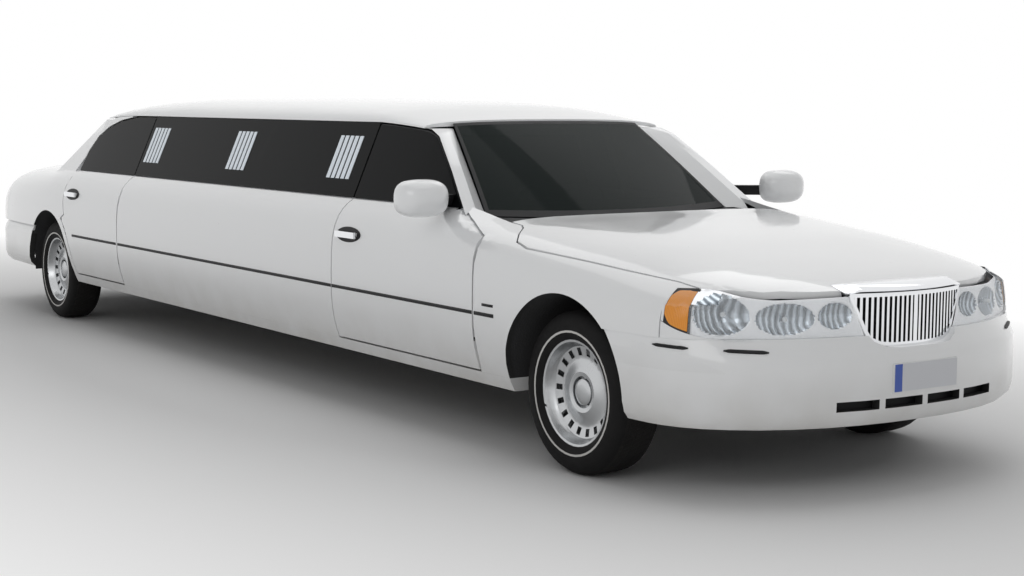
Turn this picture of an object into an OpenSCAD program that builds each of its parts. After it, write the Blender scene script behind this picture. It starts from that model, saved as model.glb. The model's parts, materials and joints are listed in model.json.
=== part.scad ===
// Stretched saloon: a long-wheelbase passenger car with four doors, two fixed windows on each
// side of the stretched middle, an upright vertical-bar grille and slotted dish wheels.
// +X is forward, +Y is the car's left, +Z is up; it stands on its tyres at Z = 0.

/* [Overall] */
// Distance between the front and rear axles
wheelbase = 6040; // [5400:10:6800]
// Front axle to the front bumper's nose
front_overhang = 1060; // [1000:5:1120]
// Rear axle to the rear bumper's face
rear_overhang = 1430; // [1380:5:1480]
// Width over the body sides, without the mirrors
body_w = 1980; // [1920:10:2040]
// Height of the roof's crown
roof_h = 1530; // [1500:5:1580]
// Height of the sill's lower edge
sill_z = 290; // [270:5:310]
// Height of the body's widest line
waist_z = 605; // [590:5:620]
// Height of the side windows' lower edge
belt_z = 1040; // [1030:2:1050]
// Height of the side windows' upper edge at mid length
eave_z = 1412; // [1400:2:1424]
// Slope of the side glass: inward travel per unit of height
tumble = 0.435; // [0.40:0.005:0.46]

/* [Panels] */
// Gap round a moving panel
gap = 9; // [8:0.5:12]
// Clearance between a fixed piece and its seat
seat = 0.3; // [0.2:0.1:0.5]
// Thickness of a door below its window
door_t = 80; // [70:5:90]
// Thickness of pillars and window frames
frame_t = 42; // [36:2:48]
// Thickness of the outer sheet pieces such as hood and fenders
sheet_t = 28; // [20:2:36]
// Thickness of all window glass
glass_t = 6; // [4:1:8]
// Inward tuck of the sill below the widest line
tuck = 72; // [50:2:90]

/* [Doors] */
// Front door's leading edge behind the front axle
front_door_x = 620; // [600:5:650]
// Length of the front door
front_door_l = 1280; // [1200:10:1320]
// Rear door's leading edge ahead of the rear axle
rear_door_x = 1300; // [1260:10:1360]
// Height of the doors' lower edge
door_z = 356; // [346:2:370]
// Radius of a hinge pin
pin_r = 4; // [3:0.5:5]
// Radial clearance of a pin in its barrel
pin_fit = 0.06; // [0.03:0.01:0.1]

/* [Wheels] */
// Outer radius of the tyre
tyre_r = 338; // [325:1:345]
// Section width of the tyre
tyre_w = 225; // [205:5:235]
// Radius of the rim's outer lip
rim_r = 220; // [210:1:230]
// Half the distance between the front wheels' middles
front_track = 806; // [790:1:815]
// Half the distance between the rear wheels' middles
rear_track = 822; // [800:1:830]
// Number of slots round the wheel disc
slot_n = 18; // [12:1:24]
// Radius of the wheel arch openings
arch_r = 402; // [390:2:420]
// Height of the arch centre above the wheel centre
arch_up = 12; // [0:1:25]

/* [Nose] */
// Number of vertical bars in the grille
bar_n = 25; // [15:2:35]
// Width of the grille at its top
grille_w = 610; // [560:5:660]
// Height of the grille's lower edge
grille_z = 592; // [580:2:610]
// Height of the grille's upper edge
grille_top = 800; // [780:2:820]
// Number of slots in the lower intake
intake_n = 4; // [2:1:6]

/* [Hidden] */
$fn = 48;
half_w = body_w / 2;
length = front_overhang + wheelbase + rear_overhang;
fx = length / 2 - front_overhang;
rx = fx - wheelbase;
axle_z = tyre_r;
arch_z = axle_z + arch_up;
rocker_top = door_z - gap;

// Body sections. Columns: distance from the axle, inset of the side, drop of the top, fullness.
REAR = [[-1400, 542, 215, 3.4], [-1350, 357, 175, 3.5], [-1250, 178, 128, 3.7], [-1100, 68, 92, 3.9],
  [-900, 38, 76, 4.1], [-700, 22, 66, 4.2], [-300, 5, 44, 4.4], [0, 0, 17, 4.5], [320, 0, 3, 4.5], [700, 0, 0, 4.5]];
FRONT = [[-1500, 0, 0, 4.5], [-1250, 0, 8, 4.7], [-960, 0, 38, 5.8], [-800, 0, 68, 6.2], [-620, 0, 100, 6.2],
  [-400, 0, 120, 5.8], [-200, 0, 136, 5.2], [0, 3, 152, 4.8], [200, 10, 172, 4.4], [450, 25, 208, 4.0],
  [550, 33, 224, 3.8], [640, 59, 240, 3.7], [750, 123, 260, 3.6], [833, 202, 280, 3.6], [930, 347, 308, 3.6],
  [1000, 522, 336, 3.6]];
// Side glass. Columns: distance from the axle, inset at the belt.
GLASS_REAR = [[-400, 158], [0, 138], [320, 131], [700, 128]];
GLASS_FRONT = [[-1350, 128], [-960, 138], [-700, 158]];
// Roof. Columns: distance from the axle, drop of the eave, drop of the crown, bow of the edge.
ROOF_REAR = [[490, 24, 104, -75], [600, 14, 72, -32], [800, 4, 40, 0], [1100, 0, 14, 0], [1700, 0, 0, 0]];
ROOF_FRONT = [[-2900, 0, 0, 0], [-2150, 0, 14, 0], [-1950, 0, 26, 0], [-1900, 0, 30, 0], [-1780, 5, 44, 0],
  [-1620, 14, 72, 4], [-1478, 24, 100, 10]];

function move_rows(t, x) = [for (r = t) [for (k = [0:len(r) - 1]) k == 0 ? r[0] + x : r[k]]];
BODY = concat(move_rows(REAR, rx), move_rows(FRONT, fx));
GLASS = concat(move_rows(GLASS_REAR, rx), move_rows(GLASS_FRONT, fx));
ROOF = concat(move_rows(ROOF_REAR, rx), move_rows(ROOF_FRONT, fx));

// A smooth curve through column k of a table whose first column is the place.
function row_at(x, t, i = 0) = i >= len(t) - 2 || x <= t[i + 1][0] ? i : row_at(x, t, i + 1);
function along(x, t, k) =
  let (i = row_at(x, t), a = t[max(i - 1, 0)], b = t[i], c = t[i + 1], d = t[min(i + 2, len(t) - 1)])
  let (h = c[0] - b[0], u = min(max((x - b[0]) / h, 0), 1))
  let (mb = (c[k] - a[k]) / (c[0] - a[0]) * h, mc = (d[k] - b[k]) / (d[0] - b[0]) * h)
  (2*u*u*u - 3*u*u + 1) * b[k] + (u*u*u - 2*u*u + u) * mb + (3*u*u - 2*u*u*u) * c[k] + (u*u*u - u*u) * mc;

// The body's side: half width, top height and outer surface.
function wide(x) = half_w - along(x, BODY, 1);
function top(x) = belt_z + 75 - along(x, BODY, 2);
function full(x) = along(x, BODY, 3);
function rise_y(x, z) =
  let (n = full(x), v = min((z - waist_z) / (top(x) - waist_z), 0.999))
  wide(x) * pow(1 - pow(v, n), 1 / n);
function shell_y(x, z) =
  z > waist_z ? rise_y(x, z) : wide(x) - tuck * pow((waist_z - z) / (waist_z - sill_z), 2.2);
function shell_z(x, y) =
  let (n = full(x), u = min(abs(y) / wide(x), 0.999))
  waist_z + (top(x) - waist_z) * pow(1 - pow(u, n), 1 / n);
function glass_y(x, z) = half_w - along(x, GLASS, 1) - tumble * (z - belt_z);
function eave(x) = eave_z - along(x, ROOF, 1);
// Outer face of doors and side panels: the shell up to the belt, then the frame behind the glass.
function side_y(x, z) = z < belt_z ? shell_y(x, min(z, belt_z - 8)) : glass_y(x, z) - glass_t - seat;
function side_t(z, t) = z < belt_z - 60 ? t : z < belt_z ? t - (t - frame_t) * (z - belt_z + 60) / 60 : frame_t;
// Shoulder point: k runs from the widest line to the place where the side has come in to y.
function shoulder(x, y, k) =
  let (n = full(x), u = min(y / wide(x), 0.98), v = pow(1 - pow(u, n), 1 / n), a = k * atan2(v, u))
  let (c = cos(a), s = sin(a), r = pow(pow(c, n) + pow(s, n), -1 / n))
  [x, wide(x) * r * c, waist_z + (top(x) - waist_z) * r * s];
// Plan curve of nose or tail at angle a, and its two reaches.
function plan(a, x0, ra, rb, p) =
  let (c = cos(a), s = sin(a), r = pow(pow(abs(c), p) + pow(abs(s), p), -1 / p))
  [x0 + ra * r * c, rb * r * s];
nose_x = fx + 450;
nose_a = front_overhang - 450;
nose_b = half_w - 25;
tail_x = rx - 880;
tail_a = rear_overhang - 880;
tail_b = half_w - 30;
function nose(a, t) = plan(a, nose_x, nose_a - t, nose_b - t, 2.2);
function tail(a, t) = let (p = plan(a, 0, tail_a - t, tail_b - t, 2.7)) [tail_x - p[0], p[1]];
function spread(a, b, n) = [for (i = [0:n]) a + (b - a) * i / n];

// A panel from two grids of points: outer face, inner face, and strips round the edge.
module slab(outer, inner) {
  n = len(outer);
  m = len(outer[0]);
  q = n * m;
  points = concat([for (r = outer) for (p = r) p], [for (r = inner) for (p = r) p]);
  skin = [for (i = [0:n - 2]) for (j = [0:m - 2]) let (a = i * m + j, b = a + m, c = b + 1, d = a + 1)
    each [[a, b, c], [a, c, d], [q + a, q + c, q + b], [q + a, q + d, q + c]]];
  low = [for (i = [0:n - 2]) let (a = i * m, b = a + m) each [[b, a, q + a], [b, q + a, q + b]]];
  high = [for (i = [0:n - 2]) let (d = i * m + m - 1, c = d + m) each [[d, c, q + c], [d, q + c, q + d]]];
  near = [for (j = [0:m - 2]) let (a = j, d = j + 1) each [[a, d, q + d], [a, q + d, q + a]]];
  far = [for (j = [0:m - 2]) let (b = (n - 1) * m + j, c = b + 1) each [[c, b, q + b], [c, q + b, q + c]]];
  polyhedron(points, concat(skin, low, high, near, far), convexity = 6);
}
// A solid through closed rings of points, each ring counterclockwise as seen from the first end.
module loft(rings) {
  n = len(rings);
  m = len(rings[0]);
  points = [for (r = rings) for (p = r) p];
  skin = [for (i = [0:n - 2]) for (j = [0:m - 1]) let (k = (j + 1) % m, a = i * m + j, b = i * m + k)
    each [[a, b, b + m], [a, b + m, a + m]]];
  ends = [for (j = [1:m - 2]) each [[0, j + 1, j], [(n - 1) * m, (n - 1) * m + j, (n - 1) * m + j + 1]]];
  polyhedron(points, concat(skin, ends), convexity = 6);
}
module both() {
  children();
  mirror([0, 1, 0]) children();
}
// A side-view outline carried across the left half of the car.
module across() {
  translate([0, half_w + 100, 0]) rotate([90, 0, 0]) linear_extrude(height = half_w + 100) children();
}
// Panel of the side between two places and two heights, on the left.
module side_slab(xs, zs, t) {
  slab([for (x = xs) [for (z = zs) [x, side_y(x, z), z]]],
    [for (x = xs) [for (z = zs) [x, side_y(x, z) - side_t(z, t), z]]]);
}
module bar(x0, x1, y0, y1, z0, z1) {
  translate([x0, y0, z0]) cube([x1 - x0, y1 - y0, z1 - z0]);
}
module arch(x, r = arch_r) {
  translate([x, 0, arch_z]) rotate([-90, 0, 0]) cylinder(r = r, h = half_w + 50, $fn = 96);
}

// Side windows in side view
win_low = belt_z + 2;
win_high = eave_z - 12;
fd_front = fx - front_door_x - gap;
fd_rear = fd_front - front_door_l + gap;
rd_front = rx + rear_door_x - gap;
mid_front = fd_rear - gap;
mid_rear = rd_front + gap;
// Striped pillars in the stretched middle: places of their middles, and their width.
pillar_w = 250;
pillar_1 = mid_front - 228;
pillar_3 = mid_rear + 170;
pillar_2 = (pillar_1 + pillar_3) / 2;
PILLARS = [pillar_1, pillar_2, pillar_3];

// Front door in side view: lower half straight, window frame following the windshield pillar.
function front_door_edge() = [[fd_front, door_z], [fd_front, belt_z - 105], [fd_front - 40, belt_z - 88],
  [fx - 918, belt_z - 18], [fx - 948, belt_z + 14], [fx - 1130, belt_z + 160], [fx - 1345, belt_z + 313],
  [fx - 1440, belt_z + 336], [fx - 1560, eave(fx - 1560) - gap], [fx - 1750, eave(fx - 1750) - gap],
  [fd_rear, eave(fd_rear) - gap], [fd_rear, door_z]];
function front_window_edge() = [[fx - 985, win_low], [fx - 1170, belt_z + 145], [fx - 1375, belt_z + 290],
  [fx - 1470, belt_z + 322], [fx - 1600, win_high - 16], [fx - 1760, win_high - 8], [fd_rear + 60, win_high - 8],
  [fd_rear + 60, win_low]];
// Rear door in side view: the trailing edge goes round the wheel arch.
function rear_door_edge() = [[rd_front, door_z], [rd_front, eave(rd_front) - gap], [rx + 1000, eave(rx + 1000) - gap],
  [rx + 880, eave(rx + 880) - gap - 10], [rx + 720, belt_z + 332], [rx + 560, belt_z + 290], [rx + 420, belt_z + 225],
  [rx + 350, belt_z + 130], [rx + 315, belt_z], [rx + 318, 830], [rx + 345, 740],
  for (a = [52:-11:8]) [rx + (arch_r + 58) * cos(a), arch_z + (arch_r + 58) * sin(a)],
  [rx + arch_r + 70, door_z]];
function rear_window_edge() = [[rd_front - 60, win_low], [rd_front - 60, win_high - 8], [rx + 1000, win_high - 8],
  [rx + 880, win_high - 18], [rx + 740, belt_z + 298], [rx + 600, belt_z + 258], [rx + 470, belt_z + 195],
  [rx + 400, belt_z + 110], [rx + 366, win_low]];

// Hinges. Columns: height of the plate's upper face.
HINGES = [500, 700];
hinge_in = 22;
hinge_back = 8;
hinge_y = half_w - hinge_in;
hinge_clear = norm([hinge_in, hinge_back]) + 5.5;
module hinge_relief(edge) {
  translate([edge - hinge_back, hinge_y, sill_z - 50]) cylinder(r = hinge_clear, h = belt_z + 60 - sill_z);
}
// The fixed half: a plate from the post and a pin standing on it.
module hinge_pins(edge, reach) {
  for (z = HINGES) {
    translate([edge - hinge_back, hinge_y, z - 8]) cylinder(r = 7, h = 8);
    bar(edge - hinge_back - 7, edge - hinge_back + 7, hinge_y - 95, hinge_y, z - 8, z);
    bar(edge - hinge_back - 7, edge + reach, hinge_y - 95, hinge_y - 46, z - 8, z);
    translate([edge - hinge_back, hinge_y, z - 4]) cylinder(r = pin_r, h = 34);
  }
}
// The moving half: a notch in the door's edge, and a barrel on an arm.
module hinge_notch(edge) {
  for (z = HINGES) bar(edge - hinge_back - 15, edge + 1, hinge_y - 110, hinge_y + 12, z - 16, z + 40);
}
module hinge_barrels(edge) {
  for (z = HINGES) difference() {
    union() {
      translate([edge - hinge_back, hinge_y, z + seat]) cylinder(r = pin_r + 3.5, h = 28);
      bar(edge - hinge_back - 40, edge - hinge_back, hinge_y - 7.5, hinge_y, z + seat, z + seat + 28);
    }
    translate([edge - hinge_back, hinge_y, z - 1]) cylinder(r = pin_r + pin_fit, h = 40);
  }
}

// Structure under the floor
rail_y = 470;
rail_w = 70;
rail_z0 = 205;
rail_z1 = 300;
floor_z = rail_z1 + seat;
floor_t = 14;
jack_x = [fx - 760, rx + 620];
kick_z = 470;
module frame() {
  color("dimgray") {
    both() {
      bar(rx + 420, fx - 420, rail_y, rail_y + rail_w, rail_z0, rail_z1);
      bar(fx - 460, fx + 640, 385, 385 + rail_w, 300, 390);
      bar(fx - 460, fx - 420, 385, rail_y + rail_w, rail_z0, 390);
      bar(rx - 1180, rx + 460, 385, 385 + rail_w, kick_z - 70, kick_z);
      bar(rx + 420, rx + 460, 385, rail_y + rail_w, rail_z0, kick_z);
      for (x = jack_x) bar(x - 60, x + 60, rail_y, rail_y + rail_w, rail_z0 - 8, rail_z0 + 1);
    }
    for (x = [fx - 700, fx - 1900, fx - 3000, fx - 4100, rx + 700])
      bar(x - 40, x + 40, -rail_y - 1, rail_y + 1, rail_z0 + 20, rail_z0 + 60);
    bar(fx + 560, fx + 640, -386, 386, 310, 380);
    bar(rx - 1180, rx - 1120, -386, 386, kick_z - 60, kick_z - 10);
    bar(fx - 60, fx + 90, -386, 386, 300, 345);
  }
}
floor_y = half_w - 190;
firewall_x = fx - 560;
trunk_x = rx - 1150;
tunnel_y = 124;
tunnel_z = 400;
module floor_pan() {
  color("gray") {
    both() {
      bar(rx + 462, firewall_x - 30, tunnel_y - floor_t, floor_y, floor_z, floor_z + floor_t);
      bar(rx + 462, firewall_x - 30, tunnel_y - floor_t, tunnel_y, floor_z, tunnel_z);
      bar(trunk_x, rx - 470, 419, 700, kick_z + seat, kick_z + seat + floor_t);
    }
    bar(rx + 462, firewall_x - 30, -tunnel_y, tunnel_y, tunnel_z - floor_t, tunnel_z);
    both() bar(rx + 462, rx + 476, tunnel_y - 1, floor_y, floor_z, kick_z + seat + floor_t);
    bar(rx + 462, rx + 476, -tunnel_y, tunnel_y, tunnel_z - 1, kick_z + seat + floor_t);
    bar(trunk_x, rx + 476, -420, 420, kick_z + seat, kick_z + seat + floor_t);
    bar(rx + 300, rx + 314, -440, 440, kick_z + seat, belt_z - 60);
  }
}
post_in = half_w - 200;
hood_y = half_w - 190;
// Side edge of the hood. Columns: distance from the front axle, inset from the body's half width.
HOOD_EDGE = move_rows([[-611, 190], [-530, 190], [-490, 168], [-440, 112], [-390, 68], [-330, 54], [0, 81],
  [200, 102], [386, 134], [500, 160], [620, 190], [760, 190]], fx);
function hood_edge(x) = half_w - along(x, HOOD_EDGE, 1);
// Inner end of a hood hinge's fixed half
hood_pin_y = hood_y - 200;
hood_back = fx - 611;
hood_hinge_x = hood_back + 10;
hood_hinge_z = belt_z - 62;
hood_clear = norm([10, shell_z(hood_back, 0) - hood_hinge_z]) + 6;
// Cowl top: from the hood's rear edge down to and under the windshield's lower edge.
function cowl_row(i, v, t) =
  i == 0 ? [hood_back - gap, (hood_y - 2) * v, shell_z(hood_back, (hood_y - 2) * v) - 4 - t]
  : i == 1 ? (cowl_row(0, v, t) + cowl_row(2, v, t)) / 2 - [0, 0, 5]
  : shield((i - 2) / 6, v) - SHIELD_N * (glass_t + seat + 0.1 + t);
module cowl() {
  color("white") {
    both() {
      bar(firewall_x - 14, firewall_x, tunnel_y, post_in, floor_z + floor_t + seat, 925);
      bar(firewall_x - 30 + seat, firewall_x, tunnel_y, 600, floor_z, floor_z + floor_t + seat + 1);
      difference() {
        bar(fd_front + gap + 8, firewall_x, post_in - 1, half_w - 95, rocker_top + seat, 900);
        hinge_relief(fd_front);
      }
      hinge_pins(fd_front, gap + 30);
      bar(hood_hinge_x - 7, hood_hinge_x + 7, hood_pin_y + 2, hood_pin_y + 26, 890, hood_hinge_z);
      translate([hood_hinge_x, hood_pin_y + 2, hood_hinge_z]) rotate([-90, 0, 0]) cylinder(r = 7, h = 24);
      translate([hood_hinge_x, hood_pin_y - 44, hood_hinge_z]) rotate([-90, 0, 0]) cylinder(r = 5, h = 60);
      bar(fd_front - 120, firewall_x - 13, hood_pin_y + 2, hood_pin_y + 26, 890, 930);
    }
    bar(firewall_x - 14, firewall_x, -tunnel_y - 1, tunnel_y + 1, tunnel_z + seat, 925);
    difference() {
      slab([for (i = [3:-1:0]) [for (v = spread(1, -1, 14)) cowl_row(i, v, 0)]],
        [for (i = [3:-1:0]) [for (v = spread(1, -1, 14)) cowl_row(i, v, 20)]]);
      translate([hood_hinge_x, -900, hood_hinge_z]) rotate([-90, 0, 0]) cylinder(r = hood_clear, h = 1800);
    }
    both() bar(fd_front - 120, fd_front - 90, hood_pin_y + 2, hood_pin_y + 26, 900, cowl_row(1, 0.8, 10)[2]);
  }
}
module rockers() {
  xs = concat([rx + 392], spread(rx + 480, fx - 460, 6), [fx - 392]);
  color("white") both() difference() {
    slab([for (x = xs) [for (z = spread(sill_z, rocker_top, 4)) [x, shell_y(x, z), z]]],
      [for (x = xs) [for (z = spread(sill_z, rocker_top, 4)) [x, floor_y + seat, z]]]);
    arch(fx);
    arch(rx);
  }
}
side_zs = concat(spread(rocker_top + seat, waist_z, 5), [waist_z + 90, waist_z + 170, waist_z + 240,
  waist_z + 300, waist_z + 350, belt_z - 55, belt_z - 30, belt_z - 8, belt_z]);
module window_hole(x0, x1) {
  across() polygon([[x0, win_low], [x1, win_low], [x1, win_high], [x0, win_high]]);
}
module side_panels() {
  color("white") both() {
    difference() {
      side_slab([mid_rear, mid_front], concat(side_zs, [eave_z - seat]), door_t);
      window_hole(pillar_1 - pillar_w / 2, pillar_2 + pillar_w / 2);
      window_hole(pillar_2 - pillar_w / 2, pillar_3 + pillar_w / 2);
      hinge_relief(rd_front);
    }
    hinge_pins(rd_front, gap + 30);
  }
}
quarter_xs = [for (d = [-1345, -1310, -1245, -1180, -1090, -980, -850, -700, -510, -310, -100,
  120, 290, 480]) rx + d];
deck_y = half_w - 350;
lamp_z0 = 655;
lamp_z1 = 892;
lamp_x = rx - 1075;
module quarter_skin(xs, t) {
  slab([for (x = xs) concat([for (z = spread(sill_z + 30, waist_z - 60, 3)) [x, shell_y(x, z), z]],
      [for (k = spread(0, 1, 10)) shoulder(x, deck_y + gap, k)])],
    [for (x = xs) concat([for (z = spread(sill_z + 30, waist_z - 60, 3)) [x, shell_y(x, z) - t, z]],
      [for (k = spread(0, 1, 10)) shoulder(x, deck_y + gap, k) - [0, t * (1 - k), t * k]])]);
}
module lamp_cut(grow) {
  across() polygon([[lamp_x + grow, lamp_z0 - grow], [rx - 1500, lamp_z0 - grow], [rx - 1500, lamp_z1 + grow],
    [lamp_x - 60 + grow, lamp_z1 + grow]]);
}
// Rear roof pillar: rings at rising heights from the quarter to the roof.
function c_ring(z) =
  let (v = (z - belt_z) / (eave_z - belt_z), x0 = rx + 250 + 330 * v, x1 = rx - 140 + 560 * v, y = glass_y(rx + 300, z))
  let (w = rear_edge(v))
  [[x0, y, z], [x0, y - frame_t, z], [x1 + 40, y - frame_t - 40, z], [w[0] + 55, w[1] - 8, z], [w[0], w[1], z],
    [x1 - 12, y - 52, z], [x1 + 40, y - 14, z]];
// Rail between the rear door's upper edge and the roof
RAIL = [for (d = [455, 560, 640, 720, 800, 890]) rx + d];
function rail_point(x, v, t) =
  let (z = v == 0 ? belt_z + 272 : min(eave(x) - 2.5, eave_z - 32 + max(0, x - rx - 560)))
  [x, glass_y(x, z) - t, z];
// Lower and upper corners of the rear window
function rear_edge(v) = [rx - 205 + 655 * v, back_low_y + 16 - 118 * v];
module quarter_panels() {
  color("white") both() {
    difference() {
      union() {
        quarter_skin(quarter_xs, sheet_t + 8);
        loft([for (z = [belt_z - 70, belt_z, belt_z + 100, belt_z + 200, belt_z + 290, eave_z - 30]) c_ring(z)]);
        slab([for (x = RAIL) [for (v = [0, 1]) rail_point(x, v, 0)]],
          [for (x = RAIL) [for (v = [0, 1]) rail_point(x, v, frame_t - 12)]]);
      }
      across() offset(delta = gap) polygon(rear_door_edge());
      bar(rx + 250, rx + 700, 0, half_w + 50, 0, rocker_top + seat);
      arch(rx);
      lamp_cut(seat);
      bar(rx - 1500, rx + 0, 0, half_w + 50, 0, waist_z + 25);
      bar(rx - 1500, rx - 700, 0, deck_y + gap, 0, 1200);
    }
  }
}
fender_xs = [for (d = [-945, -830, -720, -611, -530, -490, -440, -390, -300, -100, 100, 290, 430, 540, 640, 700,
  745]) fx + d];
module fender_skin(xs, grow, t, pull = 0) {
  slab([for (x = xs) concat([for (z = spread(rocker_top + seat, waist_z - 60, 3)) [x, shell_y(x, z) + grow, z]],
      [for (k = spread(0, 1, 7)) shoulder(x, hood_edge(x) - pull, k) + [0, grow, grow]])],
    [for (x = xs) concat([for (z = spread(rocker_top + seat, waist_z - 60, 3)) [x, shell_y(x, z) - t, z]],
      [for (k = spread(0, 1, 7)) shoulder(x, hood_edge(x) - pull, k) - [0, t * (1 - k), t * k]])]);
}
module front_fenders() {
  color("white") both() difference() {
    fender_skin(fender_xs, 0, sheet_t);
    across() offset(delta = gap) polygon(front_door_edge());
    arch(fx);
    hinge_relief(fd_front);
    bar(fx + 200, fx + 800, 0, half_w + 50, 0, bumper_z + seat);
    lamp_box();
  }
}
// Liner of a wheel arch: a curved strip over the tyre and a wall on the frame rail.
liner_r = arch_r + 2;
liner_t = 5;
module disc(x, y0, y1, r) {
  translate([x, y0, arch_z]) rotate([-90, 0, 0]) cylinder(r = r, h = y1 - y0, $fn = 96);
}
module liner(x) {
  wall_y = 385 + rail_w + seat;
  difference() {
    disc(x, wall_y, half_w - 85, liner_r + liner_t);
    disc(x, wall_y + liner_t, half_w, liner_r);
    bar(x - 600, x + 600, 0, 1000, -200, arch_z + 20);
    bar(x - 165, x + 165, 0, 1000, 0, 552);
  }
}
module wheel_liners() {
  color("dimgray") both() {
    liner(fx);
    liner(rx);
  }
}
// Room of a headlamp, seen from above and from the front
lamp_in = 15.5;
lamp_end = 76.5;
lamp_back = 116;
module lamp_box() {
  translate([0, 0, bumper_z - 40]) linear_extrude(height = lamp_head(lamp_end) + 6 - bumper_z + 40)
    polygon(concat([for (a = spread(lamp_end + 0.3, 10, 8)) nose(a, -40)],
      [for (a = spread(10, lamp_end + 0.3, 8)) nose(a, lamp_back + 60)]));
}
bumper_z = 640;
// Front bumper. Columns: height, inset at the middle, inset at the corners.
BUMPER = [[302, 40, 34], [330, 12, 12], [370, 1, 2], [440, 0, 0], [520, 0, 0], [560, 6, 1], [585, 22, 3],
  [612, 44, 6], [bumper_z, 62, 10]];
function corner(a) = let (k = min(max((abs(a) - 44) / 28, 0), 1)) k * k * (3 - 2 * k);
function bumper_point(a, r, t) = let (p = nose(a, r[1] + (r[2] - r[1]) * corner(a) + t)) [p[0], p[1], r[0]];
// Stations round the nose: along the side ahead of the arch, then round the corner to the middle.
NOSE_SIDE = [275, 360];
NOSE_TURN = [90, 84, 77, 70, 62, 54, 45, 36, 27, 18, 9, 0];
nose_n = len(NOSE_SIDE) + len(NOSE_TURN) - 1;
function nose_point(i, r, t) =
  let (k = i > nose_n ? 2 * nose_n - i : i, n = len(NOSE_SIDE))
  let (p = k < n ? [fx + NOSE_SIDE[k], wide(fx + NOSE_SIDE[k]) - r[2] - t, r[0]] : bumper_point(NOSE_TURN[k - n], r, t))
  [p[0], i > nose_n ? -p[1] : p[1], p[2]];
module front_bumper() {
  color("white") difference() {
    union() {
      slab([for (i = [0:2 * nose_n]) [for (r = BUMPER) nose_point(i, r, 0)]],
        [for (i = [0:2 * nose_n]) [for (r = BUMPER) nose_point(i, r, 38)]]);
      bar(fx + front_overhang - 60, fx + front_overhang - 1, -176, 176, 424, 536);
      both() bar(fx + 640 + seat, fx + 970, 390, 450, 318, 360);
    }
    translate([fx + 700, 0, 0]) rotate([90, 0, 90]) linear_extrude(height = 400)
      offset(delta = seat) polygon(grille_edge());
    for (i = [0:intake_n - 1])
      bar(fx + 700, fx + 1200, -440 + i * 880 / intake_n + 14, -440 + (i + 1) * 880 / intake_n - 14, 366, 404);
    for (y = [-89, 89]) translate([fx + front_overhang - 90, y, 505]) rotate([0, 90, 0]) cylinder(r = 3.5, h = 100);
    both() arch(fx);
  }
}
TAIL = [[330, 44], [360, 14], [400, 2], [470, 0], [560, 0], [590, 6], [612, 18], [waist_z + 25 - seat, 30]];
module rear_bumper() {
  color("white") difference() {
    slab([for (i = [0:2 * tail_n]) [for (r = TAIL) tail_point(i, r, 0)]],
      [for (i = [0:2 * tail_n]) [for (r = TAIL) tail_point(i, r, 38)]]);
    both() arch(rx);
  }
}
// Stations round the tail: along the side behind the arch, then round the corner to the middle.
TAIL_SIDE = [-380, -560, -740];
TAIL_TURN = [90, 82, 74, 66, 57, 48, 39, 30, 20, 10, 0];
tail_n = len(TAIL_SIDE) + len(TAIL_TURN) - 1;
function tail_point(i, r, t) =
  let (k = i > tail_n ? 2 * tail_n - i : i, n = len(TAIL_SIDE), d = r[1] + t)
  let (p = k < n ? [rx + TAIL_SIDE[k], wide(rx + TAIL_SIDE[k]) + 3 - d] : tail(TAIL_TURN[k - n], d))
  [p[0], i > tail_n ? p[1] : -p[1], r[0]];
function grille_edge() = let (w = grille_w / 2, h = grille_top)
  [[-w, h], [-w + 4, h - 30], [-w + 58, grille_z + 62], [-w + 82, grille_z + 26], [-w + 130, grille_z + 6],
    [-w + 190, grille_z], [w - 190, grille_z], [w - 130, grille_z + 6], [w - 82, grille_z + 26],
    [w - 58, grille_z + 62], [w - 4, h - 30], [w, h]];
module grille_face(dx, t) {
  translate([fx + dx - 820, 0, 0]) difference() {
    translate([0, 0, grille_z - 20]) cylinder(r = 820, h = 260, $fn = 180);
    translate([0, 0, grille_z - 21]) cylinder(r = 820 - t, h = 262, $fn = 180);
    bar(-900, 400, -900, 900, 0, 2000);
  }
}
module grille_prism(grow) {
  translate([fx + 500, 0, 0]) rotate([90, 0, 90]) linear_extrude(height = 600) offset(delta = grow) polygon(grille_edge());
}
module grille() {
  pitch = (grille_w - 30) / bar_n;
  color("silver") {
    intersection() {
      grille_face(1002, 60);
      difference() {
        grille_prism(0);
        grille_prism(-15);
      }
    }
    intersection() {
      grille_face(998, 40);
      grille_prism(-8);
      for (i = [-(bar_n - 1) / 2:(bar_n - 1) / 2]) let (w = i == 0 ? 20 : 11)
        bar(fx + 600, fx + 1100, i * pitch - w / 2, i * pitch + w / 2, grille_z, grille_top);
    }
    intersection() {
      grille_face(960, 10);
      grille_prism(-8);
    }
  }
}
module headlamps() {
  as = spread(lamp_end, lamp_in, 10);
  vs = [0, 0.3, 0.62, 0.86, 1];
  color("lightgray") both() difference() {
    slab([for (a = as) [for (v = vs) lamp_point(a, v, lamp_face(a, v))]],
      [for (a = as) [for (v = vs) lamp_point(a, v, lamp_back)]]);
    for (a = BOWLS) let (p = nose(a, 2)) translate([p[0], p[1], (bumper_z + lamp_head(a)) / 2]) sphere(r = bowl_r);
    grille_prism(seat);
  }
}
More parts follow.
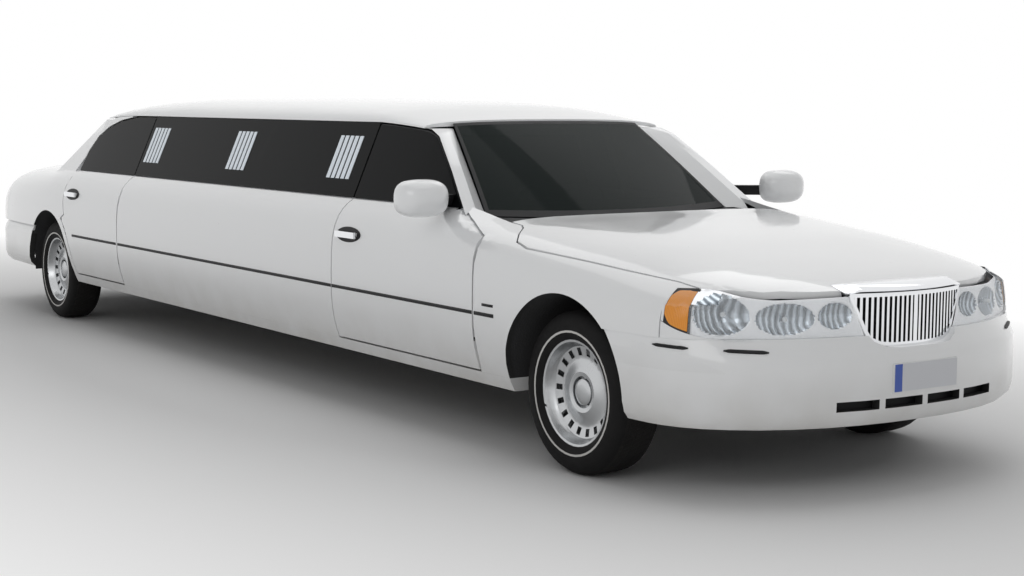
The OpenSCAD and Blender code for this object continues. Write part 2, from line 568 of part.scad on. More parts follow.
// Reflector bowls: places round the nose, and the radius of their round face.
BOWLS = [57, 39];
bowl_r = 88;
function lamp_point(a, v, t) = let (p = nose(a, t)) [p[0], p[1], lamp_foot(a) + (lamp_head(a) - lamp_foot(a)) * v];
function lamp_face(a, v) = (66 + 22 * v * v) * (1 - corner(a)) + (6 + 34 * v * v) * corner(a);
function lamp_foot(a) = bumper_z + seat;
function lamp_head(a) = 790 - 18 * (a - lamp_in) / (lamp_end - lamp_in);
module tail_lamps() {
  color("firebrick") both() intersection() {
    quarter_skin([for (x = quarter_xs) if (x < rx - 950) x], 62);
    lamp_cut(0);
    bar(rx - 1500, rx - 800, deck_y + gap, half_w, 0, 1200);
  }
}
hood_xs = concat([hood_back], [for (d = [-530, -490, -440, -390, -300, -100, 100, 290, 430, 540, 640, 740, 840, 900, 940]) fx + d]);
HOOD_VS = [1, 0.96, 0.91, 0.84, 0.72, 0.45, 0, -0.45, -0.72, -0.84, -0.91, -0.96, -1];
function hood_point(x, v, t) = let (y = v * min(hood_edge(x) - gap, wide(x) - 12)) [x, y, shell_z(x, y) - t];
module hood() {
  color("white") difference() {
    union() {
      difference() {
        slab([for (x = hood_xs) [for (v = HOOD_VS) hood_point(x, v, 0)]],
          [for (x = hood_xs) [for (v = HOOD_VS) hood_point(x, v, sheet_t)]]);
        hood_room();
      }
      both() {
        translate([hood_hinge_x, hood_pin_y - 40, hood_hinge_z]) rotate([-90, 0, 0]) cylinder(r = 9, h = 40);
        bar(hood_hinge_x, hood_hinge_x + 46, hood_pin_y - 40, hood_pin_y, hood_hinge_z - 9, hood_hinge_z + 2);
      }
    }
    both() translate([hood_hinge_x, hood_pin_y - 50, hood_hinge_z]) rotate([-90, 0, 0]) cylinder(r = 5 + pin_fit, h = 80);
  }
}
// Room in the hood for the lamps, the grille and the fixed halves of its hinges
module hood_room() {
  translate([0, 0, 500]) linear_extrude(height = 400) polygon(concat([for (a = spread(90, -90, 24)) nose(a, -200)],
    [for (a = spread(-90, 90, 24)) nose(a, lamp_back + gap)]));
  intersection() {
    grille_prism(gap);
    bar(fx + 850, fx + 1200, -400, 400, 0, 1000);
  }
  both() bar(hood_back - 1, hood_hinge_x + 18, hood_pin_y - 3, hood_pin_y + 32, hood_hinge_z - 60, hood_hinge_z + 13);
}
// Deck between the rear window and the trunk lid, with the lid's hinge pins
lid_front = rx - 300;
lid_hinge_x = lid_front - 10;
lid_hinge_z = belt_z + 2;
// Inner end of a lid hinge's fixed half
lid_pin_y = deck_y - 100;
lid_clear = norm([10, shell_z(lid_front, 0) - lid_hinge_z]) + 6;
deck_in = deck_y + gap - seat;
// Deck rows: at the lid, half way, and twice under the rear window's lower edge.
function deck_row(i, v, t) =
  i == 0 ? [lid_front + gap, deck_in * v * 7 / 6, shell_z(lid_front, deck_in * v * 7 / 6) - t]
  : back((i - 1) / 6, v) - BACK_N * (glass_t + seat + 0.1 + t);
module deck_panel() {
  color("white") {
    difference() {
      slab([for (i = [0:2]) [for (v = spread(6 / 7, -6 / 7, 12)) deck_row(i, v, 0)]],
        [for (i = [0:2]) [for (v = spread(6 / 7, -6 / 7, 12)) deck_row(i, v, 20)]]);
      translate([lid_hinge_x, -900, lid_hinge_z]) rotate([-90, 0, 0]) cylinder(r = lid_clear, h = 1800);
    }
    bar(rx - 180, rx + 300 - seat, 40 - deck_y, deck_y - 40, belt_z - 90, belt_z - 74);
    both() {
      bar(lid_hinge_x - 7, rx - 170, lid_pin_y + 4, lid_pin_y + 26, belt_z - 90, belt_z - 60);
      bar(lid_hinge_x - 7, lid_hinge_x + 7, lid_pin_y + 4, lid_pin_y + 26, belt_z - 90, lid_hinge_z);
      translate([lid_hinge_x, lid_pin_y + 4, lid_hinge_z]) rotate([-90, 0, 0]) cylinder(r = 7, h = 22);
      translate([lid_hinge_x, lid_pin_y - 42, lid_hinge_z]) rotate([-90, 0, 0]) cylinder(r = 5, h = 60);
      bar(rx - 240, rx - 216, lid_pin_y + 4, lid_pin_y + 26, belt_z - 90, deck_row(1, 0.785, 10)[2]);
    }
  }
}
// Trunk lid in side view. Columns: place behind its front edge, height below the deck.
LID = [[0, 0], [240, 0], [490, 0], [730, 0], [882, 0], [972, 6], [1020, 24], [1046, 58], [1056, 110],
  [1060, 180], [1058, 250], [1052, 318]];
module trunk_lid() {
  color("white") difference() {
    union() {
      difference() {
        slab([for (i = [len(LID) - 1:-1:0]) [for (v = spread(1, -1, 12)) lid_point(i, v, 0)]],
          [for (i = [len(LID) - 1:-1:0]) [for (v = spread(1, -1, 12)) lid_point(i, v, 26)]]);
        both() bar(lid_hinge_x - 18, lid_front + 1, lid_pin_y - 1, lid_pin_y + 31, lid_hinge_z - 60, lid_hinge_z + 12);
      }
      both() {
        translate([lid_hinge_x, lid_pin_y - 40, lid_hinge_z]) rotate([-90, 0, 0]) cylinder(r = 9, h = 40);
        bar(lid_hinge_x - 46, lid_hinge_x, lid_pin_y - 40, lid_pin_y, lid_hinge_z - 9, lid_hinge_z + 2);
      }
    }
    both() translate([lid_hinge_x, lid_pin_y - 50, lid_hinge_z]) rotate([-90, 0, 0]) cylinder(r = 5 + pin_fit, h = 80);
  }
}
function lid_point(i, v, t) =
  let (p = LID[i], y = v * deck_y, x = lid_front - p[0])
  let (back = p[0] > 862 ? (p[0] - 862) / 200 : 0)
  [x + back * 36 * v * v + (p[1] > 6 ? t : 0), y, shell_z(max(x, rx - 1180), y) - p[1] - (p[1] < 60 ? t : 0)];
roof_t = 30;
function roof_row(x) = [x, eave(x), roof_h - along(x, ROOF, 2), along(x, ROOF, 3), glass_y(x, eave(x))];
function roof_point(r, a, t) =
  let (c = cos(a), s = sin(a), k = pow(pow(abs(c), 2.5) + pow(abs(s), 2.5), -0.4))
  [r[0] + r[3] * (1 - k * k * c * c), (r[4] - t) * k * c, r[1] + (r[2] - r[1] - t) * k * s];
module roof() {
  xs = concat([for (d = [490, 540, 600, 690, 800, 950, 1100, 1400, 1700]) rx + d],
    [for (d = [-2900, -2150, -1905, -1800, -1700, -1620, -1545, -1478]) fx + d]);
  as = [for (a = [0, 9, 18, 27, 37, 48, 60, 74, 90, 106, 120, 132, 143, 153, 162, 171, 180]) a];
  color("white") slab([for (x = xs) [for (a = as) roof_point(roof_row(x), a, 0)]],
    [for (x = xs) [for (a = as) roof_point(roof_row(x), a, roof_t)]]);
}
// Half widths of the windshield and the rear window at their lower and upper edges
shield_low_y = half_w - 278;
shield_top_y = half_w - 434;
back_low_y = half_w - 284;
back_top_y = half_w - 400;
// Windshield: bottom and top edges at share v across, and a point at share s up the glass.
function shield_low(v) = [fx - 935 + 125 * (1 - v * v), shield_low_y * v, 984 + 16 * v * v];
function shield_top(v) =
  let (r = roof_row(fx - 1478), u = v * shield_top_y / r[4])
  [r[0] + r[3] * (1 - u * u) + 9, shield_top_y * v, r[1] + (r[2] - r[1]) * pow(1 - pow(min(abs(u), 1), 2.5), 0.4) - 9];
SHIELD_N = [0.57, 0, 0.82];
function shield(s, v) = shield_low(v) * (1 - s) + shield_top(v) * s + SHIELD_N * 26 * s * (1 - s);
module windshield() {
  color("black") slab([for (s = spread(0, 1, 6)) [for (v = spread(-1, 1, 14)) shield(s, v)]],
    [for (s = spread(0, 1, 6)) [for (v = spread(-1, 1, 14)) shield(s, v) - SHIELD_N * glass_t]]);
}
function back_low(v) = [rx - 222 - 38 * (1 - v * v), back_low_y * v, shell_z(rx - 240, back_low_y * v) + 9.5];
function back_top(v) =
  let (r = roof_row(rx + 490), u = v * back_top_y / r[4])
  [r[0] + r[3] * (1 - u * u) - 10, back_top_y * v, r[1] + (r[2] - r[1]) * pow(1 - pow(min(abs(u), 1), 2.5), 0.4) - 8];
BACK_N = [-0.46, 0, 0.89];
function back(s, v) = back_low(v) * (1 - s) + back_top(v) * s + BACK_N * 34 * s * (1 - s);
module rear_window() {
  color("black") slab([for (s = spread(0, 1, 6)) [for (v = spread(1, -1, 14)) back(s, v)]],
    [for (s = spread(0, 1, 6)) [for (v = spread(1, -1, 14)) back(s, v) - BACK_N * glass_t]]);
}
// Windshield pillar. Columns: height above the belt, place of its outer edge, place and inset of its glass edge.
POST = [[-90, -800, -872, 252], [-40, -859, -935, 272], [14, -929, -1007, 293], [160, -1119, -1200, 350],
  [313, -1334, -1404, 410], [344, -1424, -1446, 422], [347.6, -1468, -1466, 426]];
function post_ring(r) =
  let (z = belt_z + r[0], o = [fx + r[1], glass_y(fx - 960, z)], w = [fx + r[2], half_w - r[3]])
  let (m = (w + o) / 2 + [40, 12])
  [[o[0], o[1], z], [m[0], m[1], z], [w[0], w[1], z], [w[0] - 40, w[1] - 6, z], [o[0] - 34, o[1] - 64, z], [o[0] - 1, o[1] - 58, z]];
module a_pillars() {
  color("white") both() difference() {
    loft([for (r = POST) post_ring(r)]);
    fender_skin([for (x = fender_xs) if (x < fx - 480) x], seat, 130, 2 * seat);
    a_pillar_room();
  }
}
// Space under the windshield pillar that the cowl takes
module a_pillar_room() {
  slab([for (i = [3:-1:0]) [for (v = spread(1.3, 0.5, 4)) cowl_row(i, v, -1)]],
    [for (i = [3:-1:0]) [for (v = spread(1.3, 0.5, 4)) cowl_row(i, v, 160)]]);
}
module pane(xs, zs) {
  slab([for (x = xs) [for (z = zs) [x, glass_y(x, z), z]]], [for (x = xs) [for (z = zs) [x, glass_y(x, z) - glass_t, z]]]);
}
module side_glass() {
  color("black") both() pane([mid_rear, mid_front], [belt_z + seat, eave_z - 6]);
}
module pillar_bars() {
  bars = 5;
  color("white") both() for (x = PILLARS) for (i = [0:bars - 1])
    let (c = x + (i - (bars - 1) / 2) * pillar_w / bars, w = pillar_w / bars * 0.72)
    slab([for (d = [-w / 2, w / 2]) [for (z = [belt_z + 86, belt_z + 300]) [c + d, glass_y(c, z) + 3, z]]],
      [for (d = [-w / 2, w / 2]) [for (z = [belt_z + 86, belt_z + 300]) [c + d, glass_y(c, z) + seat, z]]]);
}
door_zs = concat([door_z, 400, 450, 510, 560], [for (z = side_zs) if (z >= waist_z) z], [belt_z + 130, belt_z + 260, eave_z + 20]);
front_door_xs = [for (d = [-1900, -1700, -1500, -1350, -1150, -960, -860, -750, -629]) fx + d];
module handle(x, z) {
  y = shell_y(x, z);
  color("silver") {
    bar(x - 95, x + 95, y + 14, y + 26, z - 15, z + 15);
    for (d = [-70, 70]) bar(x + d - 16, x + d + 16, y - 30, y + 15, z - 11, z + 11);
  }
}
module front_door() {
  difference() {
    intersection() {
      side_slab(concat([fd_rear], [for (x = front_door_xs) if (x > fd_rear + 40 && x < fd_front - 40) x], [fd_front]), door_zs, door_t);
      across() polygon(front_door_edge());
    }
    across() polygon(front_window_edge());
    hinge_notch(fd_front);
  }
  hinge_barrels(fd_front);
  handle(fd_rear + 150, 872);
}
module rear_door() {
  difference() {
    intersection() {
      side_slab([rx + 300, rx + 400, rx + 520, rx + 700, rx + 1000, rd_front], door_zs, door_t);
      across() polygon(rear_door_edge());
    }
    across() polygon(rear_window_edge());
    hinge_notch(rd_front);
  }
  hinge_barrels(rd_front);
  handle(rx + 480, 885);
}
module front_door_left() { color("white") front_door(); }
module front_door_right() { color("white") mirror([0, 1, 0]) front_door(); }
module rear_door_left() { color("white") rear_door(); }
module rear_door_right() { color("white") mirror([0, 1, 0]) rear_door(); }
module front_glass() {
  intersection() {
    pane(concat([fd_rear], [for (x = front_door_xs) if (x > fd_rear + 40 && x < fx - 800) x], [fx - 800]),
      [belt_z + seat, belt_z + 130, belt_z + 260, eave_z + 20]);
    across() offset(delta = -4) polygon(front_door_edge());
  }
}
module rear_glass() {
  intersection() {
    pane([rx + 300, rx + 400, rx + 520, rx + 700, rx + 1000, rd_front], [belt_z + seat, belt_z + 130, belt_z + 260, eave_z + 20]);
    across() offset(delta = -4) polygon(rear_door_edge());
  }
}
module front_glass_left() { color("black") front_glass(); }
module front_glass_right() { color("black") mirror([0, 1, 0]) front_glass(); }
module rear_glass_left() { color("black") rear_glass(); }
module rear_glass_right() { color("black") mirror([0, 1, 0]) rear_glass(); }
// Door mirror: a rounded housing on a short foot at the door's front window corner.
mirror_x = fx - 895;
mirror_y = half_w + 84;
mirror_z = belt_z + 52;
function mirror_ring(d, s) = [for (a = [330:-30:0]) [mirror_x + d,
  mirror_y + 124 * s * sign(cos(a)) * pow(abs(cos(a)), 0.7), mirror_z + 83 * s * sign(sin(a)) * pow(abs(sin(a)), 0.7)]];
module side_mirror() {
  loft([for (r = [[-52, 0.94], [-46, 1], [0, 1], [36, 0.88], [62, 0.62], [74, 0.3]]) mirror_ring(r[0], r[1])]);
  slab([for (x = [fx - 1085, fx - 1015]) [for (z = [belt_z + 10, belt_z + 58]) [x + 115, half_w + 30, z]]],
    [for (x = [fx - 1085, fx - 1015]) [for (z = [belt_z + 10, belt_z + 58]) [x, glass_y(x, z) + seat, z]]]);
}
module mirror_left() { color("white") side_mirror(); }
module mirror_right() { color("white") mirror([0, 1, 0]) side_mirror(); }

// Cabin
module dashboard() {
  color("dimgray") {
    bar(firewall_x - 420, firewall_x - 14 - seat, -740, 740, 690, 880);
    bar(firewall_x - 300, firewall_x - 14 - seat, -120, 120, tunnel_z + seat, 700);
    translate([firewall_x - 400, wheel_y, 800]) rotate([0, column_tilt - 90, 0]) cylinder(r = 26, h = column_l);
  }
}
wheel_y = 380;
column_tilt = 22;
column_l = 150;
wheel_c = [firewall_x - 400 - column_l * cos(column_tilt), wheel_y, 800 + column_l * sin(column_tilt)];
module steering_wheel() {
  color("dimgray") translate(wheel_c) rotate([0, column_tilt - 90, 0]) translate([0, 0, seat]) {
    translate([0, 0, 34]) rotate_extrude() translate([178, 0]) circle(r = 13);
    cylinder(r = 46, h = 42);
    for (a = [0, 120, 240]) rotate(a) translate([30, -14, 26]) cube([150, 28, 14]);
  }
}
// A seat facing forward: foot, cushion and leaning back.
seat_z = floor_z + floor_t + seat;
module seat_form(x, y0, y1, depth) {
  translate([x, 0, seat_z]) {
    bar(0, depth, y0, y1, 120, 270);
    translate([40, y0, 230]) rotate([0, -14, 0]) cube([140, y1 - y0, 520]);
  }
}
module front_seats() {
  color("gray") both() {
    seat_form(fx - 1890, 140, 660, 520);
    bar(fx - 1850, fx - 1390, 170, 630, seat_z, seat_z + 121);
  }
}
module lounge_seats() {
  color("gray") {
    seat_form(rx + 580, -560, 560, 560);
    both() {
      bar(rx + 620, rx + 1120, tunnel_y + 6, 530, seat_z, seat_z + 121);
      bar(rx + 1300, fx - 2700, 330, 700, seat_z, seat_z + 236);
    }
  }
}
module partition() {
  low = floor_z + floor_t + seat;
  color("gray") translate([fx - 2180, 0, 0]) rotate([90, 0, 90]) linear_extrude(height = 30) difference() {
    polygon([[-floor_y, low], [floor_y, low], [floor_y, belt_z - 70], [glass_y(fx - 2180, 1330) - 62, 1330],
      [62 - glass_y(fx - 2180, 1330), 1330], [-floor_y, belt_z - 70]]);
    translate([-tunnel_y - seat, 0]) square([2 * tunnel_y + 2 * seat, tunnel_z + seat]);
  }
}
// Running gear
module engine() {
  color("dimgray") {
    bar(fx - 440, fx + 260, -290, 290, 345 + seat, 800);
    bar(fx + 330, fx + 390, -360, 360, 345, 790);
    bar(fx + 259, fx + 331, -100, 100, 420, 640);
  }
}
shaft_z = 316;
module drive_line() {
  color("dimgray") {
    bar(fx - 1150, fx - 440 - seat, -100, 100, 268, 378);
    translate([fx - 1149, 0, shaft_z]) rotate([0, -90, 0]) cylinder(r = 38, h = fx - 1149 - rx - 119);
  }
}
pipe_z = 180;
module exhaust() {
  color("gray") both() {
    translate([fx - 300, 260, pipe_z]) rotate([0, -90, 0]) cylinder(r = 26, h = fx - 300 - rx + 420);
    bar(rx + 700, rx + 1300, 180, 340, 130, 204);
    translate([fx - 326, 260, pipe_z]) cylinder(r = 26, h = 345 - pipe_z);
  }
}
module fuel_tank() {
  color("dimgray") bar(rx - 560, rx - 260, -340, 340, 300, kick_z - seat);
}
module rear_axle() {
  color("dimgray") {
    translate([rx, -rear_track + 40, axle_z]) rotate([-90, 0, 0]) cylinder(r = 42, h = 2 * rear_track - 80);
    translate([rx, 0, axle_z]) sphere(r = 118);
    both() {
      translate([rx, rear_track - 50, axle_z]) rotate([-90, 0, 0]) cylinder(r = 30, h = 90);
      translate([rx, 420, axle_z]) cylinder(r = 50, h = kick_z - 70 - seat - axle_z);
    }
  }
}
arm_y = 385 + rail_w + seat;
module front_suspension() {
  color("dimgray") both() translate([fx, arm_y, 0]) {
    bar(-150, 150, 0, 40, 230, 262);
    bar(-30, 30, 0, 248, 235, 259);
    bar(-120, 120, 0, 40, 520, 545);
    bar(-25, 25, 0, 226, 522, 542);
    bar(-40, 40, 0, 30, 262, 522);
  }
}
king_y = 680;
module knuckle() {
  color("gray") translate([fx, 0, 0]) {
    translate([0, king_y, 259 + seat]) cylinder(r = 24, h = 522 - 259 - 2 * seat);
    translate([0, king_y, axle_z]) rotate([-90, 0, 0]) cylinder(r = 46, h = 60);
    translate([0, king_y, axle_z]) rotate([-90, 0, 0]) cylinder(r = 22, h = front_track - king_y + 40);
  }
}
module knuckle_left() { knuckle(); }
module knuckle_right() { mirror([0, 1, 0]) knuckle(); }
// Wheel: turned about its axle, outer face towards +Y. Columns of the outline: radius, place.
module wheel(bore) {
  color("silver") rotate([-90, 0, 0]) difference() {
    rotate_extrude($fn = 96) polygon([[bore + 0.06, -30], [bore + 0.06, 30], [62, 30], [66, 52], [84, 56],
      [120, 44], [142, 40], [190, 52], [199, 66], [rim_r - 10, 92], [rim_r, 94], [rim_r, 84], [208, 82], [204, 60],
      [188, 20], [188, -30], [204, -60], [208, -82], [rim_r, -84], [rim_r, -94], [rim_r - 12, -94], [194, -66],
      [180, -34], [180, 18], [186, 32], [140, 24], [118, 28], [86, 38], [78, -30]]);
    for (i = [0:slot_n - 1]) rotate(i * 360 / slot_n) translate([151, -12, 0]) cube([32, 24, 80]);
    for (i = [0:4]) rotate(i * 72) translate([57.15, 0, -40]) cylinder(r = 7, h = 120);
  }
}
module tyre() {
  h = tyre_w / 2;
  color("black") rotate([-90, 0, 0]) rotate_extrude($fn = 96) polygon([[208 + seat, 81.5], [rim_r + seat, 83.5], [rim_r + seat, 95], [rim_r + 6, 101], [246, h - 3], [270, h],
    [292, h - 3], [312, h - 10], [327, h - 20], [334, h - 32], [tyre_r, h - 60], [tyre_r, 60 - h], [334, 32 - h], [327, 20 - h], [312, 10 - h],
    [292, 3 - h], [270, -h], [246, 3 - h], [rim_r + 6, -101], [rim_r + seat, -95], [rim_r + seat, -83.5], [208 + seat, -81.5], [204 + seat, -60], [204 + seat, 60]]);
}
module at_wheel(x, y) { translate([x, y, axle_z]) children(); }
module front_wheel_left() { at_wheel(fx, front_track) wheel(22); }
module front_wheel_right() { mirror([0, 1, 0]) at_wheel(fx, front_track) wheel(22); }
module rear_wheel_left() { at_wheel(rx, rear_track) wheel(30); }
module rear_wheel_right() { mirror([0, 1, 0]) at_wheel(rx, rear_track) wheel(30); }
module front_tyre_left() { at_wheel(fx, front_track) tyre(); }
module front_tyre_right() { mirror([0, 1, 0]) at_wheel(fx, front_track) tyre(); }
module rear_tyre_left() { at_wheel(rx, rear_track) tyre(); }
module rear_tyre_right() { mirror([0, 1, 0]) at_wheel(rx, rear_track) tyre(); }

frame();
floor_pan();
cowl();
rockers();
side_panels();
quarter_panels();
front_fenders();
wheel_liners();
roof();
a_pillars();
windshield();
rear_window();
side_glass();
pillar_bars();
deck_panel();
front_bumper();
rear_bumper();
grille();
headlamps();
tail_lamps();
hood();
trunk_lid();
front_door_left();
front_door_right();
rear_door_left();
rear_door_right();
front_glass_left();
front_glass_right();
rear_glass_left();
rear_glass_right();
mirror_left();
mirror_right();
dashboard();
steering_wheel();
front_seats();
lounge_seats();
partition();
engine();
drive_line();
exhaust();
fuel_tank();
rear_axle();
front_suspension();
knuckle_left();
knuckle_right();
front_wheel_left();
front_wheel_right();
rear_wheel_left();
rear_wheel_right();
front_tyre_left();
front_tyre_right();
rear_tyre_left();
rear_tyre_right();
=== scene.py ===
# %% [markdown]
# # Dressing a stretched white saloon
# The imported CAD model gives every panel, wheel and hinge its place. This lesson adds what a
# photograph shows on top of that: gloss paint, dark glass, chrome, lamps with bowls behind a clear
# lens, tyres with a white line, and leather in the cabin.
# The model is loaded once.

# %% Load the imported model
import json
import math

import bpy
from mathutils import Matrix, Vector

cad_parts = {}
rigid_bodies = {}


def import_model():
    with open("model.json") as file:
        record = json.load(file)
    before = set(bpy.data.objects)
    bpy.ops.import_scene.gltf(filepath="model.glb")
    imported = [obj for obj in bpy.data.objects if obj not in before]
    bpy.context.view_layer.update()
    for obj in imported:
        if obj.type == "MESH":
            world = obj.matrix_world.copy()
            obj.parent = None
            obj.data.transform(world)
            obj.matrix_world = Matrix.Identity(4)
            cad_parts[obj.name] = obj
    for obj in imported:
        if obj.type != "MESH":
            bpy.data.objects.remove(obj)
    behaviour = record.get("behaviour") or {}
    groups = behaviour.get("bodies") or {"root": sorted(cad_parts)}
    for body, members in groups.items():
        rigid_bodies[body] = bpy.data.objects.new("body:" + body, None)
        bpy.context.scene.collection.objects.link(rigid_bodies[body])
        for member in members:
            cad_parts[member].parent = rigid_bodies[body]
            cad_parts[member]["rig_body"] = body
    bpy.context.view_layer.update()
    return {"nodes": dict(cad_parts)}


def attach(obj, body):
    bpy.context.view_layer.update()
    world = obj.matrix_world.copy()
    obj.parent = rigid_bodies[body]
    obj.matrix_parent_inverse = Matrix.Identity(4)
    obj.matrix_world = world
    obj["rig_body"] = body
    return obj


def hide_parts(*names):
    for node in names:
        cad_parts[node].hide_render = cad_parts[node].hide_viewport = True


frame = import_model()
scene = bpy.context.scene
scene.view_settings.view_transform = "Standard"

# %% [markdown]
# ## Camera
# The photograph was measured first: where the wheels, lamps and roof corners fall in the picture
# gives the camera's place, its turn and its lens. The nose points right, and we see the right side.

# %% Camera at the photograph's view
IMAGE_WIDTH = 1024
FOCAL_PIXELS = 1708.72
YAW, PITCH, ROLL = 0.5988, 0.1094, 0.0047
CAMERA_AT = (8.7364, -4.983, 1.5226)
SENSOR = 36.0
look = Vector((-math.cos(PITCH) * math.cos(YAW), math.cos(PITCH) * math.sin(YAW), -math.sin(PITCH)))
level = look.cross(Vector((0, 0, 1))).normalized()
upright = level.cross(look)
cam_right = math.cos(ROLL) * level + math.sin(ROLL) * upright
cam_up = -math.sin(ROLL) * level + math.cos(ROLL) * upright
bpy.ops.object.select_all(action="DESELECT")
bpy.ops.object.camera_add()
camera = bpy.context.object
camera.matrix_world = Matrix((cam_right, cam_up, -look)).transposed().to_4x4()
camera.location = CAMERA_AT
camera.data.sensor_width = SENSOR
camera.data.lens = FOCAL_PIXELS / IMAGE_WIDTH * SENSOR
scene.camera = camera
print("lens", round(camera.data.lens, 1), "mm")

# %% [markdown]
# ## Shader arithmetic
# A finish is a small tree of nodes. Writing it as arithmetic is easier to read than wiring by hand,
# so a Wire stands for one output socket, and adding or multiplying Wires adds Math nodes.
# Colours never go through Math, because that turns them grey; they go through Mix.

# %% A wire and a bench
class Wire:
    """One number coming out of a node."""

    def __init__(self, bench, socket):
        self.bench, self.socket = bench, socket

    def math(self, operation, first, second=0.0, clamp=False):
        settings = {"operation": operation, "use_clamp": clamp}
        return self.bench.node("ShaderNodeMath", settings, {0: first, 1: second})

    def __add__(self, other):
        return self.math("ADD", self, other)

    def __sub__(self, other):
        return self.math("SUBTRACT", self, other)

    def __rsub__(self, other):
        return self.math("SUBTRACT", other, self)

    def __mul__(self, other):
        return self.math("MULTIPLY", self, other)

    def __truediv__(self, other):
        return self.math("DIVIDE", self, other)

    def clamped(self):
        return self.math("MULTIPLY", self, 1.0, clamp=True)

    def over(self, limit):
        return self.math("GREATER_THAN", self, limit)


class Bench:
    """One material on the workbench: its Principled shader, and a way to add nodes before it."""

    def __init__(self, name, **fixed):
        self.material = bpy.data.materials.new(name)
        self.material.use_nodes = True
        self.tree = self.material.node_tree
        self.shader = self.tree.nodes["Principled BSDF"]
        for key, value in fixed.items():
            socket = key.replace("_", " ").title().replace("Ior", "IOR")
            self.shader.inputs[socket].default_value = value

    def node(self, kind, settings=None, sockets=None, output=0):
        made = self.tree.nodes.new(kind)
        for key, value in (settings or {}).items():
            setattr(made, key, value)
        for key, value in (sockets or {}).items():
            if isinstance(value, Wire):
                self.tree.links.new(value.socket, made.inputs[key])
            else:
                made.inputs[key].default_value = value
        return Wire(self, made.outputs[output])

    def place(self):
        return self.node("ShaderNodeTexCoord", output="Object")

    def axis(self, name):
        return self.node("ShaderNodeSeparateXYZ", None, {0: self.place()}, output=name)

    def noise(self, scale, detail=3.0):
        sockets = {"Vector": self.place(), "Scale": scale, "Detail": detail}
        return self.node("ShaderNodeTexNoise", None, sockets)

    def mix(self, share, first, second):
        sockets = {0: share, 6: (*first, 1) if isinstance(first, tuple) else first,
                   7: (*second, 1) if isinstance(second, tuple) else second}
        return self.node("ShaderNodeMix", {"data_type": "RGBA"}, sockets, output=2)

    def bump(self, height, depth, strength):
        sockets = {"Strength": strength, "Distance": depth, "Height": height}
        self.feed("Normal", self.node("ShaderNodeBump", None, sockets))

    def feed(self, socket, wire):
        self.tree.links.new(wire.socket, self.shader.inputs[socket])


print("bench ready")

# %% [markdown]
# ## Finishes
# White gloss paint is a pale base under a clear coat, with the faint orange peel that sprayed paint
# has, and road dust that thickens towards the sills. Chrome and alloy are metals whose roughness
# wanders a little. Privacy glass is almost black and lets a little of the cabin through.

# %% Paint, glass and metal
DUST_FROM, DUST_RISE = 0.26, 0.50


def gloss_paint(name, colour, dust):
    b = Bench(name, roughness=0.32, coat_weight=1.0, coat_roughness=0.05)
    low = (1.0 - (b.axis("Z") - DUST_FROM) / DUST_RISE).clamped()
    film = (low * low * b.noise(5.0, 6.0) * 0.95).clamped()
    b.feed("Base Color", b.mix(film, colour, dust))
    b.feed("Roughness", film * 0.5 + b.noise(40.0) * 0.06 + 0.26)
    b.bump(b.noise(260.0, 1.0), 0.0006, 0.12)
    return b.material


def dark_glass(name, colour, alpha, smear):
    b = Bench(name, alpha=alpha, specular_ior_level=0.10, ior=1.3)
    wipe = b.noise(2.2, 5.0)
    b.feed("Base Color", b.mix(wipe * 0.3, colour, tuple(c * 1.8 + 0.004 for c in colour)))
    b.feed("Roughness", (wipe * smear).clamped() + 0.015)
    return b.material


def metal(name, colour, rough, spread, grain=30.0, metallic=1.0, relief=0.0):
    b = Bench(name, metallic=metallic)
    cloud = b.noise(grain, 4.0)
    b.feed("Base Color", b.mix(cloud * 0.35, colour, tuple(c * 0.82 for c in colour)))
    b.feed("Roughness", cloud * spread + rough)
    if relief:
        b.bump(b.noise(grain * 6), relief, 0.4)
    return b.material


PAINT = gloss_paint("white_gloss_paint", (0.83, 0.84, 0.85), (0.52, 0.50, 0.46))
SIDE_GLASS = dark_glass("privacy_glass", (0.004, 0.0045, 0.005), 0.96, 0.05)
FRONT_GLASS = dark_glass("windshield_glass", (0.010, 0.016, 0.015), 0.80, 0.05)
CHROME = metal("chrome", (0.80, 0.81, 0.83), 0.05, 0.07)
ALLOY = metal("wheel_alloy", (0.52, 0.53, 0.54), 0.22, 0.08, 9.0)
STEEL = metal("exhaust_steel", (0.38, 0.35, 0.31), 0.35, 0.3, 12.0, relief=0.001)
MIRROR = metal("mirror_silver", (0.86, 0.88, 0.90), 0.01, 0.02)
print("paint, glass and metals")

# %% [markdown]
# Plastics, rubber, leather and the coating under the floor are not metal. Each has its own grain:
# a fine pebble on plastic, larger cells on leather, and a rough sprayed crust underneath.

# %% Plastic, rubber, leather and lamps
def grained(name, colour, rough, grain, depth, cells=False, worn=0.25, **fixed):
    b = Bench(name, **fixed)
    cloud = b.noise(7.0, 5.0)
    b.feed("Base Color", b.mix(cloud * worn, colour, tuple(c * 1.6 + 0.012 for c in colour)))
    b.feed("Roughness", cloud * 0.18 + rough)
    if cells:
        sockets = {"Vector": b.place(), "Scale": grain}
        creases = b.node("ShaderNodeTexVoronoi", {"feature": "DISTANCE_TO_EDGE"}, sockets)
        b.bump((creases * 6.0).clamped(), depth, 0.6)
    else:
        b.bump(b.noise(grain, 2.0), depth, 0.5)
    return b.material


def lens(name, colour, alpha, flutes, depth, coat=0.5):
    b = Bench(name, roughness=0.04, alpha=alpha, coat_weight=coat)
    sockets = {"Vector": b.place(), "Scale": flutes}
    ribs = b.node("ShaderNodeTexWave", {"bands_direction": "Y"}, sockets, output=1)
    b.feed("Base Color", b.mix(ribs * 0.4, colour, tuple(min(1, c * 1.25 + 0.02) for c in colour)))
    b.bump(ribs, depth, 0.4)
    return b.material


